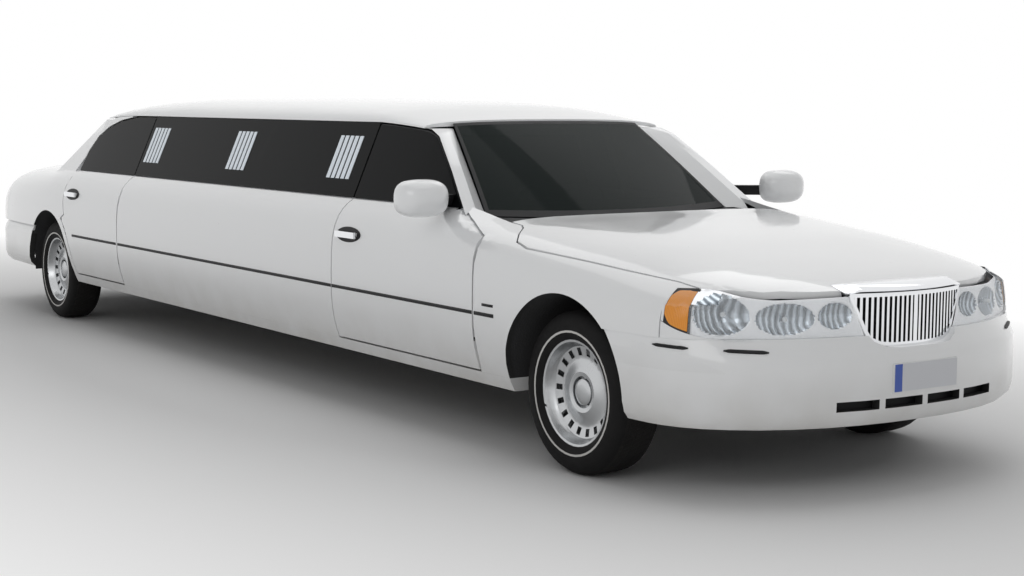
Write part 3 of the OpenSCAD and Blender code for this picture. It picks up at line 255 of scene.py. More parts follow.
def reflector(name, bright, painted_shade_colour):
    """Faceted mirror of a lamp: broad flutes in its bump, with painted highlights and painted shade
    in bands along them.
    """
    b = Bench(name, metallic=0.9)
    sockets = {"Vector": b.place(), "Scale": 13.0, "Distortion": 3.0, "Detail": 2.0}
    flutes = b.node("ShaderNodeTexWave", {"bands_direction": "Y"}, sockets, output=1)
    # Across each flute the base colour runs from the painted shade to the painted highlight: the
    # reflector's light and dark are painted in.
    b.feed("Base Color", b.mix(flutes, painted_shade_colour, bright))
    b.feed("Roughness", b.noise(60.0) * 0.08 + 0.07)
    b.bump(flutes, 0.004, 0.5)
    return b.material


TRIM = grained("black_trim", (0.008, 0.008, 0.009), 0.42, 700.0, 0.0003, worn=0.12,
               specular_ior_level=0.2)
SEAL = grained("rubber_seal", (0.010, 0.010, 0.010), 0.62, 300.0, 0.0005)
PLASTIC = grained("cabin_plastic", (0.030, 0.030, 0.033), 0.50, 420.0, 0.0006)
LEATHER = grained("cabin_leather", (0.115, 0.110, 0.105), 0.42, 190.0, 0.0009, cells=True)
CARPET = grained("carpet", (0.028, 0.028, 0.032), 0.90, 900.0, 0.004)
UNDERSIDE = grained("underbody_coating", (0.018, 0.018, 0.019), 0.75, 90.0, 0.003, worn=0.5)
CASTING = grained("painted_casting", (0.040, 0.041, 0.043), 0.55, 60.0, 0.002, metallic=0.4)
CLEAR_LENS = lens("clear_lens", (0.86, 0.90, 0.93), 0.16, 60.0, 0.0004)
AMBER_LENS = lens("amber_lens", (0.86, 0.29, 0.004), 0.97, 70.0, 0.0012, coat=0.15)
RED_LENS = lens("red_lens", (0.42, 0.012, 0.014), 0.97, 70.0, 0.0012)
PLATE_WHITE = grained("plate_white", (0.62, 0.63, 0.66), 0.35, 500.0, 0.0002, worn=0.05)
PLATE_BLUE = grained("plate_blue", (0.040, 0.095, 0.42), 0.35, 500.0, 0.0002, worn=0.05)
STRIPE = metal("pillar_stripe", (0.72, 0.78, 0.84), 0.25, 0.1, 40.0, metallic=0.35)
print("plastics, rubber, leather, lenses")

# %% [markdown]
# ## The body's surface, once more
# Strips, lenses and glass have to lie on the body. The CAD describes its side by a short table along
# the car; the same table in metres lets Python ask where the surface is at any place.

# %% Tables and surface functions
FRONT_X, REAR_X = 3.205, -2.835
SIDES = {"left": 1, "right": -1}
HALF, WAIST, SILL, BELT = 0.990, 0.605, 0.290, 1.040
TUCK, TUCK_POWER, TOP_RISE = 0.072, 2.2, 0.075
NOSE_X, NOSE_LONG, NOSE_WIDE, NOSE_POWER = FRONT_X + 0.45, 0.61, 0.965, 2.2
ARCH_Z, ARCH_R, ON_SHELL = 0.350, 0.402, 0.006
# Columns: distance from the axle, inset of the side, drop of the top, fullness.
REAR = [(-1.40, .542, .215, 3.4), (-1.35, .357, .175, 3.5), (-1.25, .178, .128, 3.7),
        (-1.10, .068, .092, 3.9), (-.90, .038, .076, 4.1), (-.70, .022, .066, 4.2),
        (-.30, .005, .044, 4.4), (0, 0, .017, 4.5), (.32, 0, .003, 4.5), (.70, 0, 0, 4.5)]
FRONT = [(-1.50, 0, 0, 4.5), (-1.25, 0, .008, 4.7), (-.96, 0, .038, 5.8), (-.80, 0, .068, 6.2),
         (-.62, 0, .100, 6.2), (-.40, 0, .120, 5.8), (-.20, 0, .136, 5.2), (0, .003, .152, 4.8),
         (.20, .010, .172, 4.4), (.45, .025, .208, 4.0), (.55, .033, .224, 3.8),
         (.64, .059, .240, 3.7), (.75, .123, .260, 3.6), (.833, .202, .280, 3.6),
         (.93, .347, .308, 3.6), (1.0, .522, .336, 3.6)]
BODY = [(x + REAR_X, *r) for x, *r in REAR] + [(x + FRONT_X, *r) for x, *r in FRONT]


def along(x, table, k):
    """A smooth curve through column k of a table whose first column is the place."""
    last = len(table) - 2
    i = next((n for n in range(last) if x <= table[n + 1][0]), last)
    a, b, c, d = table[max(i - 1, 0)], table[i], table[i + 1], table[min(i + 2, last + 1)]
    h = c[0] - b[0]
    u = min(max((x - b[0]) / h, 0), 1)
    mb, mc = (c[k] - a[k]) / (c[0] - a[0]) * h, (d[k] - b[k]) / (d[0] - b[0]) * h
    return ((2 * u**3 - 3 * u * u + 1) * b[k] + (u**3 - 2 * u * u + u) * mb
            + (3 * u * u - 2 * u**3) * c[k] + (u**3 - u * u) * mc)


def wide(x):
    return HALF - along(x, BODY, 1)


def top(x):
    return BELT + TOP_RISE - along(x, BODY, 2)


def shell_y(x, z):
    """Half width of the body at a place and height."""
    if z <= WAIST:
        return wide(x) - TUCK * ((WAIST - z) / (WAIST - SILL)) ** TUCK_POWER
    n = along(x, BODY, 3)
    v = min((z - WAIST) / (top(x) - WAIST), 0.999)
    return wide(x) * (1 - v**n) ** (1 / n)


def shell_z(x, y):
    """Height of the hood, fender tops or deck at a place and half width."""
    n = along(x, BODY, 3)
    u = min(abs(y) / wide(x), 0.999)
    return WAIST + (top(x) - WAIST) * (1 - u**n) ** (1 / n)


def nose(angle, inset):
    """Plan curve of the front bumper: 0 is the middle, 90 the side."""
    c, s = math.cos(math.radians(angle)), math.sin(math.radians(angle))
    r = (abs(c) ** NOSE_POWER + abs(s) ** NOSE_POWER) ** (-1 / NOSE_POWER)
    return NOSE_X + (NOSE_LONG - inset) * r * c, (NOSE_WIDE - inset) * r * s


print("half width at mid length", round(shell_y(0, WAIST), 3))
print("hood height", round(shell_z(FRONT_X, 0), 3))

# %% [markdown]
# ## Smooth skins from the CAD panels
# A CAD mesh is loose triangles, so it shades flat. A copy of it, merged into one skin and shaded
# smooth up to a chosen angle, keeps the exact panel and loses the facets. A pick function may give
# faces of the copy a second finish by their place, as the black frames behind the side glass. Where
# a face lies on the body's outer surface, its shading is taken from the tables above.

# %% Copy, merge and smooth
MERGE = 0.00002
SIDE_SHARE = 0.85


def alone(piece):
    """Only this piece is selected and active, in object mode."""
    if bpy.context.object and bpy.context.object.mode != "OBJECT":
        bpy.ops.object.mode_set(mode="OBJECT")
    bpy.ops.object.select_all(action="DESELECT")
    piece.select_set(True)
    bpy.context.view_layer.objects.active = piece


def added(name, add, **settings):
    """A new piece from one of Blender's own forms."""
    bpy.ops.object.select_all(action="DESELECT")
    add(**settings)
    piece = bpy.context.object
    piece.name = piece.data.name = name
    return piece


def edit_whole(piece, *steps):
    """Edit mode with everything selected, for a few steps."""
    alone(piece)
    bpy.ops.object.mode_set(mode="EDIT")
    for step in steps:
        bpy.ops.mesh.select_all(action="SELECT")
        step()
    bpy.ops.object.mode_set(mode="OBJECT")


def merge(distance):
    return lambda: bpy.ops.mesh.remove_doubles(threshold=distance)


def face_outwards():
    bpy.ops.mesh.normals_make_consistent(inside=False)


def apply_all(piece):
    alone(piece)
    for modifier in list(piece.modifiers):
        bpy.ops.object.modifier_apply(modifier=modifier.name)


def smooth(piece, degrees=32):
    alone(piece)
    bpy.ops.object.shade_smooth_by_angle(angle=math.radians(degrees))


def body_of(node):
    return frame["nodes"][node]["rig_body"]


def shell_normal(p):
    """The body surface's direction at a point on it, or None away from the surface."""
    x, y, z = p
    side, step = (1 if y > 0 else -1), 0.002
    if z < WAIST + SIDE_SHARE * (top(x) - WAIST):
        if abs(abs(y) - shell_y(x, z)) > ON_SHELL:
            return None
        slope_x = shell_y(x + step, z) - shell_y(x - step, z)
        slope_z = shell_y(x, z + step) - shell_y(x, z - step)
        return Vector((-slope_x, side * 2 * step, -slope_z)).normalized()
    if abs(z - shell_z(x, y)) > ON_SHELL:
        return None
    slope_x = shell_z(x + step, y) - shell_z(x - step, y)
    slope_y = shell_z(x, y + step) - shell_z(x, y - step)
    return Vector((-slope_x, -slope_y, 2 * step)).normalized()


def true_normals(mesh):
    """Faces on the body's outer surface shade as the curve and not as their triangles."""
    exact = [shell_normal(v.co) for v in mesh.vertices]
    shading = [c.vector.copy() for c in mesh.corner_normals]
    for face in mesh.polygons:
        ends = [exact[v] for v in face.vertices]
        if all(n is not None and n.dot(face.normal) > 0.8 for n in ends):
            for corner_index, n in zip(face.loop_indices, ends):
                shading[corner_index] = n
    mesh.normals_split_custom_set(shading)


def skin(node, finishes, pick=None, degrees=32, name=None):
    """A merged and smoothed copy of a CAD node that stands for it."""
    source = frame["nodes"][node]
    piece = bpy.data.objects.new(name or node + "_skin", source.data.copy())
    scene.collection.objects.link(piece)
    edit_whole(piece, merge(MERGE), bpy.ops.mesh.customdata_custom_splitnormals_clear)
    smooth(piece, degrees)
    even = piece.modifiers.new("even", "WEIGHTED_NORMAL")
    even.keep_sharp = True
    apply_all(piece)
    true_normals(piece.data)
    piece.data.materials.clear()
    for finish in finishes:
        piece.data.materials.append(finish)
    for face in piece.data.polygons:
        face.material_index = pick(face.center, face.normal) if pick else 0
    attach(piece, body_of(node))
    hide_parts(node)
    return piece


print("skin maker ready")

# %% [markdown]
# Some panels carry a second finish: the doors' black frames, bright handles and dark linings, the
# wheel arches' inner lips, and the walls of the front bumper's slots.

# %% Panels and their second finishes
HANDLE_PROUD, LINING_DEPTH = 0.005, 0.02
ARCH_LIP = 0.05
SLOT_X, SLOT_Y, SLOT_LOW, SLOT_HIGH = FRONT_X + 0.9, 0.43, 0.364, 0.406
END_X, END_Z, END_REACH = REAR_X - 0.384, 0.47, 0.338


def frame_is_black(centre, normal):
    """Above the belt a door or side panel is the black frame behind the glass."""
    return 1 if centre.z > BELT - 0.001 else 0


def door_pick(centre, normal):
    """Black frame, bright handle, dark lining on the inside, and paint elsewhere."""
    if frame_is_black(centre, normal):
        return 1
    y, skin_y = abs(centre.y), shell_y(centre.x, centre.z)
    if y > skin_y + HANDLE_PROUD:
        return 2
    return 3 if y < skin_y - LINING_DEPTH and normal.y * centre.y < -0.4 * y else 0


def arch_pick(centre, normal):
    """The inner lip of each wheel arch is dark."""
    axle = min((FRONT_X, REAR_X), key=lambda x: abs(x - centre.x))
    out = Vector((centre.x - axle, 0, centre.z - ARCH_Z))
    inward = normal.dot(out.normalized()) < -0.3 or normal.y * centre.y < 0
    return 1 if out.length < ARCH_R + ARCH_LIP and inward else 0


def slot_pick(centre, normal):
    """The walls of the bumper's four lower slots are black."""
    inside = SLOT_LOW < centre.z < SLOT_HIGH and abs(centre.y) < SLOT_Y and centre.x > SLOT_X
    return 1 if inside and normal.x < 0.6 else arch_pick(centre, normal)


for node in ("rockers", "roof", "a_pillars", "deck_panel", "hood", "trunk_lid"):
    skin(node, [PAINT])
for node in ("quarter_panels", "front_fenders"):
    skin(node, [PAINT, SEAL], arch_pick)
# The CAD bumper stops short of the arch, so its front ends are drawn forward towards it.
tail = skin("rear_bumper", [PAINT, SEAL], arch_pick)
for vertex in tail.data.vertices:
    if vertex.co.x > END_X and vertex.co.z > END_Z:
        reach = math.sqrt(ARCH_R ** 2 - (vertex.co.z - ARCH_Z) ** 2)
        vertex.co.x = REAR_X - max(reach, END_REACH)
skin("front_bumper", [PAINT, SEAL], slot_pick)
skin("side_panels", [PAINT, TRIM], frame_is_black)
for side in SIDES:
    for end in ("front", "rear"):
        skin(f"{end}_door_{side}", [PAINT, TRIM, CHROME, PLASTIC], door_pick)

# %% [markdown]
# ## A sheet of points
# Lenses, strips, glass and lamp bowls are thin sheets that follow a curve. They could be cut from a
# thick block, but a sheet is easier: a grid is added, each of its points is moved to where a small
# function says, and Solidify gives it a thickness. u runs across the grid and v up it, so that the
# front of the sheet faces outwards. A pick function may give a face its own finish.

# %% Grid from a function
def sheet(name, shape, cells, finishes, body, thick=0.0, pick=None, degrees=40):
    """A grid whose points go to shape(u, v), for u and v from 0 to 1."""
    piece = added(name, bpy.ops.mesh.primitive_grid_add, x_subdivisions=cells[0],
                  y_subdivisions=cells[1], size=2)
    for finish in finishes:
        piece.data.materials.append(finish)
    for face in piece.data.polygons:
        u, v = face.center.x / 2 + 0.5, face.center.y / 2 + 0.5
        face.material_index = pick(u, v) if pick else 0
    for point in piece.data.vertices:
        point.co = Vector(shape(point.co.x / 2 + 0.5, point.co.y / 2 + 0.5))
    if thick:
        wall = piece.modifiers.new("wall", "SOLIDIFY")
        wall.thickness, wall.offset = thick, -1
        apply_all(piece)
    smooth(piece, degrees)
    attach(piece, body)
    return piece


def between(a, b, share):
    return a + (b - a) * share


def ease(value, low, high):
    """0 below low, 1 above high, and a soft S between them."""
    k = min(max((value - low) / (high - low), 0), 1)
    return k * k * (3 - 2 * k)


STRIP_TIP = 0.03


def side_strip(name, side, ends, heights, finish, body, proud, cells=(24, 4)):
    """A strip on the body's side: rounded over its height, and thin at both ends."""
    def shape(u, v):
        x = between(*ends, u if side < 0 else 1 - u)
        z = between(*heights, v)
        tip = min(1, min(x - min(ends), max(ends) - x) / STRIP_TIP)
        swell = proud * (1 - (2 * v - 1) ** 4) * (0.25 + 0.75 * tip) + 0.0008
        return x, side * (shell_y(x, z) + swell), z
    return sheet(name, shape, cells, [finish], body, thick=proud + 0.002)


print("sheet maker ready")

# %% [markdown]
# ## Remaining CAD nodes
# What is already the right shape keeps its CAD mesh or a smoothed copy and only gets a finish.

# %% Plain finishes
SIDE_PANES = ("side_glass", "front_glass_left", "front_glass_right", "rear_glass_left",
              "rear_glass_right")
for node in SIDE_PANES:
    skin(node, [SIDE_GLASS])
skin("pillar_bars", [STRIPE])
skin("tail_lamps", [RED_LENS])
skin("cowl", [TRIM])
for node in ("frame", "floor_pan", "fuel_tank"):
    skin(node, [UNDERSIDE])
CASTINGS = ("engine", "drive_line", "rear_axle", "front_suspension", "knuckle_left", "knuckle_right")
for node in CASTINGS:
    skin(node, [CASTING])
skin("exhaust", [STEEL])
for node in ("dashboard", "partition", "steering_wheel"):
    skin(node, [PLASTIC])
print("plain nodes finished")

# %% [markdown]
# ## Wheel liners
# Each wheel runs in a dark tub. The CAD one is a coarse band, so it is drawn again as a finer sheet
# bent round the axle, which ends inside the panel's thickness. A low wall closes its inner end over
# the tyre.

# %% Liners and their walls
LINER_R, LINER_Y = ARCH_R + 0.0015, 0.560
LINER_ENDS = (math.radians(-6), math.radians(186))
WALL_Z, WALL_ENDS = 0.615, (math.radians(43), math.radians(137))
IN_PANEL, IN_BUMPER, BUMPER_FULL_Z = 0.012, 0.02, 0.42


def liner_edge(x, z):
    """Half width where a liner ends. Behind the rear wheel the bumper keeps its width lower down."""
    if x < REAR_X:
        return shell_y(x, max(z, BUMPER_FULL_Z)) - IN_BUMPER
    return shell_y(x, z) - IN_PANEL


for axle_name, axle_x in (("front", FRONT_X), ("rear", REAR_X)):
    for side, sign in SIDES.items():
        def liner_shape(u, v, axle_x=axle_x, sign=sign):
            turn = between(*LINER_ENDS, u if sign > 0 else 1 - u)
            x, z = axle_x + LINER_R * math.cos(turn), ARCH_Z + LINER_R * math.sin(turn)
            return x, sign * between(LINER_Y, liner_edge(x, z), v), z

        def wall_shape(u, v, axle_x=axle_x, sign=sign):
            turn = between(*WALL_ENDS, u if sign < 0 else 1 - u)
            rim_z = ARCH_Z + LINER_R * math.sin(turn)
            return axle_x + LINER_R * math.cos(turn), sign * LINER_Y, between(WALL_Z, rim_z, v)

        liner = sheet(f"wheel_liner_{axle_name}_{side}", liner_shape, (40, 3), [UNDERSIDE], "body",
                      thick=0.003)
        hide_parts("wheel_liners")
        wall = sheet(f"wheel_liner_wall_{axle_name}_{side}", wall_shape, (20, 3), [UNDERSIDE], "body",
                     thick=0.003)
        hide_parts("wheel_liners")
print("liners", 2 * len(SIDES))

# %% [markdown]
# ## Grille and wheels
# The grille's bars are chrome and what lies behind them is black. The distance from the grille's own
# axis tells the two apart.

# %% Grille bars and wheel dishes
GRILLE_R, GRILLE_DEEP = 0.820, 0.034
GRILLE_AXIS_X = FRONT_X + 0.998 - GRILLE_R


def grille_pick(centre, normal):
    depth = math.hypot(centre.x - GRILLE_AXIS_X, centre.y)
    return 1 if depth < GRILLE_R - GRILLE_DEEP else 0


skin("grille", [CHROME, TRIM], grille_pick)
for side in SIDES:
    for end in ("front", "rear"):
        skin(f"{end}_wheel_{side}", [ALLOY], degrees=28)
print("all nodes have a finish")

# %% [markdown]
# ## Mirrors
# The CAD housing has twelve sides, which shows at its edge. A finer sheet wraps the same form: rings
# of a rounded rectangle from the middle of the glass to the tip of the housing, closed by merging.
# The black foot stays a copy of the CAD one, without the housing's faces.

# %% Housing, glass and foot
MIRROR_AT = Vector((FRONT_X - 0.895, HALF + 0.084, BELT + 0.052))
MIRROR_BACK = MIRROR_AT.x - 0.052
MIRROR_Y, MIRROR_Z, MIRROR_POWER, GLASS_SHARE = 0.124, 0.083, 0.7, 0.21
# Columns: share from the glass to the tip, depth, size.
MIRROR_RINGS = [(0, -.0500, 0), (.22, -.0500, .90), (.25, -.0520, .93), (.30, -.0460, .985),
                (.36, -.0300, 1), (.50, 0, 1), (.64, .0330, .90), (.80, .0600, .66),
                (.92, .0725, .36), (1, .0760, 0)]


def mirror_round(turn, half, size):
    return half * size * math.copysign(abs(turn) ** MIRROR_POWER, turn)


for side, sign in SIDES.items():
    def housing(u, v, sign=sign):
        turn, size = 2 * math.pi * u * sign, max(along(v, MIRROR_RINGS, 2), 0)
        y = MIRROR_AT.y + mirror_round(math.cos(turn), MIRROR_Y, size)
        return (MIRROR_AT.x + along(v, MIRROR_RINGS, 1), sign * y,
                MIRROR_AT.z + mirror_round(math.sin(turn), MIRROR_Z, size))

    shell = sheet(f"mirror_housing_{side}", housing, (64, 40), [PAINT, MIRROR], f"front_door_{side}",
                  pick=lambda u, v: 1 if v < GLASS_SHARE else 0)
    edit_whole(shell, merge(0.0001), face_outwards)
    smooth(shell, 35)
    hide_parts(f"mirror_{side}")
    foot = skin(f"mirror_{side}", [TRIM], name=f"mirror_foot_{side}")
    alone(foot)
    bpy.ops.object.mode_set(mode="EDIT")
    bpy.ops.mesh.select_mode(type="FACE")
    bpy.ops.mesh.select_all(action="DESELECT")
    bpy.ops.object.mode_set(mode="OBJECT")
    of_housing = [f.center.x > MIRROR_BACK - 0.002 for f in foot.data.polygons]
    foot.data.polygons.foreach_set("select", of_housing)
    bpy.ops.object.mode_set(mode="EDIT")
    bpy.ops.mesh.delete(type="FACE")
    bpy.ops.object.mode_set(mode="OBJECT")
    print("mirror foot faces", len(foot.data.polygons))
print("mirrors", body_of("mirror_left"), body_of("mirror_right"))

# %% [markdown]
# ## Tyres
# The real tyre has a bead in the rim, a bulging wall with a thin white line, and a shoulder that
# rolls into the tread. It could be cut from the CAD ring, but an outline spun round the axle gives
# even faces. Seventeen points and forty-four steps keep four tyres light. The tread's blocks are in
# the finish: they follow the angle round the axle, so they turn with the wheel.

# %% Tread and wall finish
AXLE_Z = 0.338
TREAD_FROM = 0.3345


def tyre_rubber(name, axle_x, track):
    b = Bench(name, specular_ior_level=0.15)
    x, z = b.axis("X") - axle_x, b.axis("Z") - AXLE_Z
    across = b.axis("Y").math("ABSOLUTE", b.axis("Y")) - track
    radius = x.math("SQRT", x * x + z * z)
    arc = x.math("ARCTAN2", z, x) * AXLE_Z
    lines = x.math("PINGPONG", across + 0.3, 0.020) / 0.004
    sipes = x.math("PINGPONG", arc + across * 0.5 + 2.0, 0.013) / 0.003
    blocks = x.math("MINIMUM", lines.clamped(), sipes.clamped())
    rings = x.math("PINGPONG", radius, 0.004) * 60.0
    tread = radius.over(TREAD_FROM)
    dust = b.noise(9.0, 6.0) * (tread * 0.5 + 0.25)
    b.feed("Base Color", b.mix(dust.clamped(), (0.006, 0.006, 0.0065), (0.030, 0.028, 0.026)))
    b.feed("Roughness", b.noise(30.0) * 0.2 + 0.62)
    b.bump(tread * blocks + (1.0 - tread) * rings * 0.12, 0.004, 0.7)
    return b.material


WHITE_LINE = grained("tyre_white_line", (0.60, 0.59, 0.57), 0.5, 400.0, 0.0003, worn=0.15)
AXLES = {"front": (FRONT_X, 0.806), "rear": (REAR_X, 0.822)}
RUBBER = {end: tyre_rubber(f"{end}_tyre_rubber", *AXLES[end]) for end in AXLES}
print("rubber for", ", ".join(RUBBER))

# %% One outline, spun round each axle
TYRE_STEPS = 44
# Columns: radius, place across the tyre with the outer wall positive.
TYRE_OUTLINE = [(.2085, .0815), (.2205, .0950), (.2300, .1035), (.2490, .1098), (.2495, .1108),
                (.2580, .1117), (.2585, .1111), (.2700, .1125), (.3000, .1075), (.3230, .0965),
                (.3350, .0780), (.3380, .0520), (.3380, -.0520), (.3350, -.0780), (.3120, -.1040),
                (.2600, -.1120), (.2085, -.0815)]
LINE_FROM, LINE_TO, WALL = 0.2492, 0.2583, 0.105


def spun(name, outline, axle_x, track, sign, steps):
    """A closed outline of radii and places, turned once round an axle."""
    piece = added(name, bpy.ops.mesh.primitive_circle_add, vertices=len(outline), radius=1,
                  fill_type="NOTHING")
    for point, (r, y) in zip(piece.data.vertices, outline):
        point.co = (axle_x, sign * (track + y), AXLE_Z + r)

    def once_round():
        bpy.ops.mesh.spin(steps=steps, angle=2 * math.pi, center=(axle_x, 0, AXLE_Z), axis=(0, 1, 0))

    edit_whole(piece, once_round, merge(0.00005), face_outwards)
    return piece


for end, (axle_x, track) in AXLES.items():
    for side, sign in SIDES.items():
        node = f"{end}_tyre_{side}"
        tyre = spun(f"{node}_dressed", TYRE_OUTLINE, axle_x, track, sign, TYRE_STEPS)
        tyre.data.materials.append(RUBBER[end])
        tyre.data.materials.append(WHITE_LINE)
        for face in tyre.data.polygons:
            c = face.center
            reach = math.hypot(c.x - axle_x, c.z - AXLE_Z)
            on_line = LINE_FROM < reach < LINE_TO and sign * c.y - track > WALL
            face.material_index = 1 if on_line else 0
        smooth(tyre, 38)
        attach(tyre, body_of(node))
        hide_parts(node)
print("tyre triangles", sum(len(f.vertices) - 2 for f in tyre.data.polygons))

# %% [markdown]
# A plain domed cap closes the middle of each wheel. It is spun from seven points, as the tyres are.

# %% Centre caps
# Columns: radius, place across the wheel.
CAP_OUTLINE = [(0, .0580), (.0300, .0572), (.0460, .0545), (.0545, .0500), (.0560, .0450),
               (.0500, .0415), (0, .0415)]
CAP_STEPS = 32
for end, (axle_x, track) in AXLES.items():
    for side, sign in SIDES.items():
        cap = spun(f"{end}_wheel_cap_{side}", CAP_OUTLINE, axle_x, track, sign, CAP_STEPS)
        cap.data.materials.append(ALLOY)
        smooth(cap, 30)
        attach(cap, body_of(f"{end}_wheel_{side}"))
print("caps", 2 * len(AXLES))

# %% [markdown]
# ## Headlamps
# Each lamp is one clear cover that bends round the corner of the nose: a small oval bowl by the
# grille, two large bowls, and an amber turn signal at the outer end. A picture of a lamp would look
# flat, so the reflector is one sheet pressed into three bowls, with the clear cover in front. The
# outer end climbs on to the fender, and there the cover is silvered, so that no paint shows through.

# %% Lamp places
LAMP_FOOT, LAMP_IN, LAMP_OUT, LAMP_BACK = 0.6405, 15.5, 76.5, 0.113
AMBER_FROM, AMBER_TO = 66.5, 75.3
CORNER_FROM, CORNER_TO = 44, 72
HEAD_Z, HEAD_FALL, HEAD_CLIMB, CLIMB_FROM, CLIMB_TO = 0.790, 0.018, 0.048, 40, 68
FOOT_LIFT, FOOT_FROM = 0.36, 52
SKIN_FROM_Z, COVER_PROUD, COVER_CLEAR = 0.765, 0.003, 0.004
SILVER_FROM, SILVER_Z = 58, 0.770
RIM_DEPTH, BOWL_POWER, BOWL_EDGE = 0.014, 0.7, 0.015
# Columns: middle round the nose, half width in degrees, middle of the height, half height.
BOWLS = [(57.4, 8.6, .53, .45), (38.8, 8.6, .50, .42), (24.4, 5.0, .54, .34)]
# The reflector's two colours are its painted highlight and its painted shade.
REFLECTOR = reflector("lamp_reflector", (0.58, 0.64, 0.70), (0.12, 0.14, 0.16))
BEZEL = metal("lamp_bezel", (0.86, 0.87, 0.89), 0.28, 0.10, 40.0, metallic=0.55)
BULB = grained("lamp_bulb", (0.75, 0.78, 0.80), 0.12, 80.0, 0.0004, worn=0.1)


def corner(angle):
    return ease(abs(angle), CORNER_FROM, CORNER_TO)


def lamp_head(angle):
    """Upper edge of the lamp, which climbs on to the fender at its outer end."""
    fall = HEAD_FALL * (angle - LAMP_IN) / (LAMP_OUT - LAMP_IN)
    return HEAD_Z - fall + HEAD_CLIMB * ease(angle, CLIMB_FROM, CLIMB_TO)


def skin_inset(angle, z):
    """How far inside the nose's plan curve the body's surface lies, found by halving."""
    near, far = 0.0, 0.2
    for _ in range(18):
        middle = (near + far) / 2
        x, y = nose(angle, middle)
        near, far = (middle, far) if y > shell_y(x, z) else (near, middle)
    return near


def lens_foot(angle):
    """The cover's lower edge lifts towards the outer end."""
    return FOOT_LIFT * (max(angle - FOOT_FROM, 0) / (LAMP_OUT - FOOT_FROM)) ** 2


def lamp_inset(angle, v):
    """The cover follows the nose, and its upper part lies on the body's surface."""
    c, z = corner(angle), between(LAMP_FOOT, lamp_head(angle), v)
    plain = (0.066 + 0.022 * v * v) * (1 - c) + (0.006 + 0.034 * v * v) * c
    if z < SKIN_FROM_Z:
        return plain
    return max(plain, min(skin_inset(angle, z) - COVER_PROUD, LAMP_BACK - COVER_CLEAR))


def lamp_point(angle, v, inset, side):
    x, y = nose(angle, inset)
    return x, side * y, between(LAMP_FOOT, lamp_head(angle), v)


def lamp_angle(first, last, u, side):
    return between(first, last, u if side > 0 else 1 - u)


def grille_side(v):
    """Inner edge of the lamp, slanted along the grille."""
    return 15.9 + 4.4 * v


def bowl_depth(angle, v):
    return max(0, *(1 - ((angle - m) / w) ** 2 - ((v - h) / t) ** 2 for m, w, h, t in BOWLS))


print("lamp height at the grille", round(lamp_head(20) - LAMP_FOOT, 3))

# %% Reflector, clear cover, amber end and painted edge
def reflector_shape(side):
    def shape(u, v):
        angle = lamp_angle(grille_side(v), AMBER_FROM, u, side)
        rim = lamp_inset(angle, v) + RIM_DEPTH
        return lamp_point(angle, v, between(rim, LAMP_BACK, bowl_depth(angle, v) ** BOWL_POWER), side)
    return shape


def cover_shape(side, first, last, inset, low=0.0, high=1.0):
    def shape(u, v):
        start = grille_side(v) if first is None else first
        angle = lamp_angle(start, last, u, side)
        foot = low(angle) if callable(low) else low
        head = high(angle) if callable(high) else high
        share = between(foot, head, v)
        return lamp_point(angle, share, lamp_inset(angle, share) + inset, side)
    return shape


def amber_low(angle):
    return lens_foot(angle) + 0.03 + 0.20 * ease(angle, 71.5, 76.5) ** 2


def amber_high(angle):
    return 0.96 - 0.16 * ease(angle, 72.5, 76.5) ** 2


for side, sign in SIDES.items():
    def in_bowl(u, v, sign=sign):
        angle = lamp_angle(grille_side(v), AMBER_FROM, u, sign)
        return 1 if bowl_depth(angle, v) > BOWL_EDGE else 0

    bowls = sheet(f"lamp_reflector_{side}", reflector_shape(sign), (110, 30), [BEZEL, REFLECTOR],
                  "body", pick=in_bowl, degrees=30)
    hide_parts("headlamps")

    def on_fender(u, v, sign=sign):
        """Over the fender's skin the cover is silvered from behind, and where a bowl would be it
        carries the reflector's painted highlights and painted shade.
        """
        angle = lamp_angle(grille_side(v), AMBER_FROM, u, sign)
        share = between(lens_foot(angle), 1, v)
        if angle < SILVER_FROM or between(LAMP_FOOT, lamp_head(angle), share) < SILVER_Z:
            return 0
        return 2 if bowl_depth(angle, share) > BOWL_EDGE else 1

    def edge_high(angle):
        return lens_foot(angle) - 0.012

    sheet(f"lamp_cover_{side}", cover_shape(sign, None, AMBER_FROM, 0.0005, lens_foot), (60, 24),
          [CLEAR_LENS, BEZEL, REFLECTOR], "body", thick=0.003, pick=on_fender)
    amber = cover_shape(sign, AMBER_FROM + 0.15, AMBER_TO, 0.0, amber_low, amber_high)
    sheet(f"lamp_amber_{side}", amber, (14, 16), [AMBER_LENS], "body", thick=0.009)
    sheet(f"lamp_backing_{side}", cover_shape(sign, AMBER_FROM - 0.6, LAMP_OUT, 0.002), (14, 14),
          [SEAL], "body", thick=0.004)
    sheet(f"lamp_lower_edge_{side}", cover_shape(sign, 48, LAMP_OUT, 0.001, 0.0, edge_high),
          (36, 4), [PAINT], "body", thick=0.010)
    sheet(f"lamp_outer_edge_{side}", cover_shape(sign, AMBER_TO + 0.25, LAMP_OUT, 0.001, lens_foot),
          (4, 14), [PAINT], "body", thick=0.010)
print("lamps dressed")

